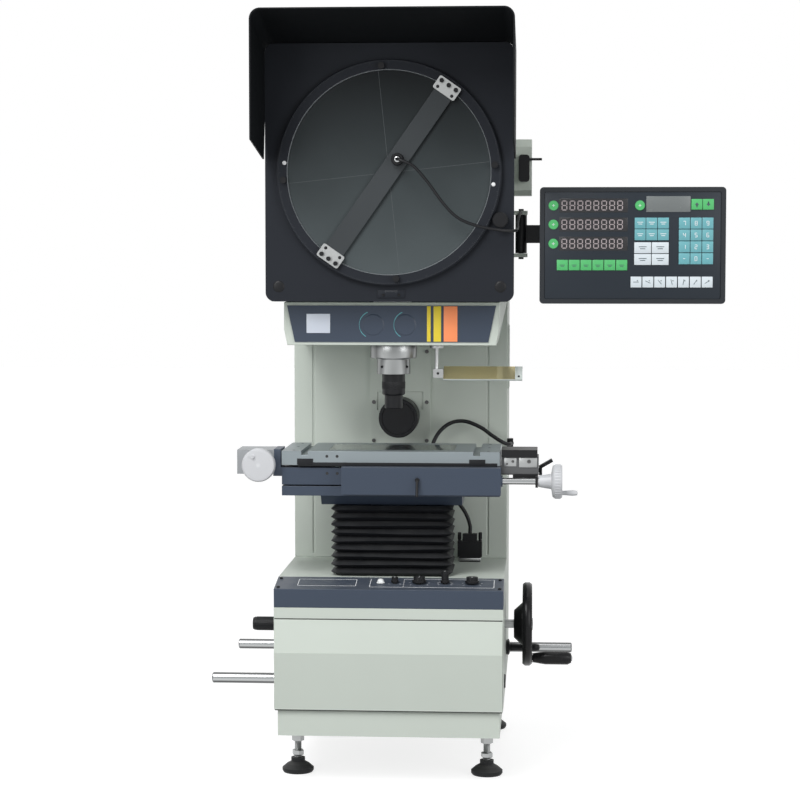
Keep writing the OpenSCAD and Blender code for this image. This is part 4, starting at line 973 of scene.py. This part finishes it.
# Readout: a dark metal case on a swivelling hinge, with a printed front sheet and raised plastic keys.
# Three rows of unlit digits stand behind smoked windows, beside a small grey liquid crystal window.
# Four screws close the case at the back.
face_y = 42.0
key_face = face_y - 2.35
digit_rows = (895.0, 866.0, 836.8)
digit_w = 7.2
digit_h = 13.6
digit_pitch = 12.1
first_digit_x = 267.6
segment = 1.5
segment_y = face_y - 1.15
stroke_thick = 0.2
dress(black_plastic, "dro_hinge", soft=0.6)
case_paint = surface("case_paint", (0.018, 0.021, 0.025), 0.38, grain=1200.0, mottle=0.1, relief=0.1,
                     wear=0.2, shine=0.25)
dress(case_paint, "dro_case", soft=0.8)
front_sheet = surface("front_sheet", (0.015, 0.021, 0.029), 0.3, relief=0.02, shine=0.25)
bm = bmesh.new()
slab(bm, at(371.5, face_y - 0.3, 834), (268, 0.8, 163), 0.3)
piece("readout_face", bm, front_sheet, "readout")
window = surface("smoked_window", (0.010, 0.010, 0.012), 0.12, relief=0.0)
bm = bmesh.new()
for z in digit_rows:
    slab(bm, at(312, face_y - 0.8, z), (104, 0.6, 21), 0.2)
piece("digit_windows", bm, window, "readout")
segment_paint = surface("display_segments", (0.36, 0.31, 0.32), 0.5, relief=0.0)
bm = bmesh.new()
for z in digit_rows:
    for k in range(8):
        x = first_digit_x + digit_pitch * k
        for dz in (-digit_h / 2, 0, digit_h / 2):
            slab(bm, at(x, segment_y, z + dz), (digit_w - segment, stroke_thick, segment))
        for dx in (-digit_w / 2, digit_w / 2):
            for dz in (-digit_h / 4, digit_h / 4):
                slab(bm, at(x + dx, segment_y, z + dz), (segment, stroke_thick, digit_h / 2 - segment))
piece("display_digits", bm, segment_paint, "readout", smooth=False)
lcd_grey = surface("lcd_grey", (0.145, 0.160, 0.160), 0.2, relief=0.0)
bm = bmesh.new()
slab(bm, at(425.6, face_y - 0.9, 897), (67, 0.8, 24), 0.3)
piece("lcd_window", bm, lcd_grey, "readout")


def keys(name, colour, places, size, round_keys=False):
    """Raised keys of one colour on the readout's face."""
    paint = surface(name + "_paint", colour, 0.42, relief=0.05)
    half = size[0] / 2
    bm = bmesh.new()
    for x, z in places:
        if round_keys:
            turned(bm, [(0, -0.4), (half, -0.4), (half, 1.2), (half - 0.6, 1.7), (0, 1.7)],
                   at(x, face_y - 0.7, z), (0, -1, 0))
        else:
            slab(bm, at(x, face_y - 1.3, z), (size[0], 2.0, size[1]), 0.5)
    piece(name, bm, paint, "readout")


def key_grid(left, top, columns, rows, pitch_x, pitch_z):
    """Middles of a block of keys, from its upper left corner."""
    return [(left + pitch_x * (i + 0.5), top - pitch_z * (k + 0.5))
            for k in range(rows) for i in range(columns)]


green = (0.07, 0.42, 0.13)
cyan = (0.13, 0.37, 0.41)
pale = (0.62, 0.68, 0.72)
axis_places = [(250.9, z) for z in digit_rows]
enter_places = [(382.5, 895)]
function_places = key_grid(255.7, 812.5, 6, 1, 18.1, 16.8)
scroll_places = key_grid(460, 905, 2, 1, 17.4, 17)
unit_places = key_grid(374.2, 876.9, 3, 2, 17.6, 17.7)
number_places = key_grid(441.3, 876.9, 3, 4, 17.7, 18)
menu_places = key_grid(373.7, 839.5, 2, 2, 26.7, 17.9)
shape_places = key_grid(368.3, 787, 7, 1, 18, 17.5)
keys("axis_buttons", green, axis_places, (15, 15), True)
keys("enter_button", green, enter_places, (15, 15), True)
keys("function_keys", green, function_places, (16.9, 16.0))
keys("scroll_keys", green, scroll_places, (16.6, 16.2))
keys("unit_keys", cyan, unit_places, (16.8, 16.8))
keys("number_keys", cyan, number_places, (16.8, 17.0))
keys("menu_keys", pale, menu_places, (25.6, 16.8))
keys("shape_keys", pale, shape_places, (16.6, 16.6))
legend = surface("key_legend", (0.70, 0.74, 0.75), 0.5, relief=0.0)
dark_legend = surface("dark_key_legend", (0.05, 0.08, 0.09), 0.5, relief=0.0)


def stroke(bm, x, z, wide, high, y=key_face, turn=None):
    """A flat printed bar on a key."""
    slab(bm, at(x, y, z), (wide, stroke_thick, high), turn=turn)


def figure(bm, text, x, z, high):
    """One plain figure as flat strokes on a seven-stroke layout."""
    strokes = {"0": "abcdef", "1": "bc", "2": "abged", "3": "abgcd", "4": "fgbc", "5": "afgcd", "6": "afgedc",
               "7": "abc", "8": "abcdefg", "9": "abfgcd", "-": "g"}
    wide = high * 0.55
    thick = high * 0.15
    spots = {"a": (0, high / 2, 1), "g": (0, 0, 1), "d": (0, -high / 2, 1), "b": (wide / 2, high / 4, 0),
             "c": (wide / 2, -high / 4, 0), "f": (-wide / 2, high / 4, 0), "e": (-wide / 2, -high / 4, 0)}
    for bar in strokes[text]:
        dx, dz, flat = spots[bar]
        stroke(bm, x + dx, z + dz, wide if flat else thick, thick if flat else high / 2)


bm = bmesh.new()
for text, (x, z) in zip("789456123-0-", number_places):
    figure(bm, text, x, z, 6.0)
for x, z in unit_places:
    stroke(bm, x, z + 1.4, 9, 1.0)
    stroke(bm, x, z - 1.4, 6, 1.0)
for x, z in axis_places + enter_places:
    stroke(bm, x, z, 4.0, 0.9, face_y - 2.45)
    stroke(bm, x, z, 0.9, 4.0, face_y - 2.45)
piece("key_legends", bm, legend, "readout", smooth=False)
bm = bmesh.new()
for x, z in menu_places:
    stroke(bm, x, z + 1.5, 12, 1.1)
    stroke(bm, x, z - 1.5, 8, 1.1)
for k, (x, z) in enumerate(shape_places):
    turn = Matrix.Rotation(math.radians(25 * k), 4, "Y")
    stroke(bm, x, z, 8.5, 0.9, turn=turn)
    stroke(bm, x + 2, z + 2, 1.6, 1.6, turn=turn)
for k, (x, z) in enumerate(scroll_places):
    stroke(bm, x, z, 4.2, 4.2, turn=Matrix.Rotation(math.radians(45), 4, "Y"))
    stroke(bm, x, z + (3 if k else -3), 1.8, 3)
for x, z in function_places:
    stroke(bm, x, z, 7.5, 1.0)
    stroke(bm, x, z - 2.2, 5, 0.9)
piece("dark_key_legends", bm, dark_legend, "readout", smooth=False)
case_inset = 0.014
case_low, case_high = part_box("dro_case")
case_sides = (case_low.x + case_inset, case_high.x - case_inset)
case_ends = (case_low.z + case_inset, case_high.z - case_inset)
screws("readout_back_screws", [Vector((x, case_high.y, z)) for x in case_sides for z in case_ends],
       (0, 1, 0), 2.4, dull_steel, "readout")
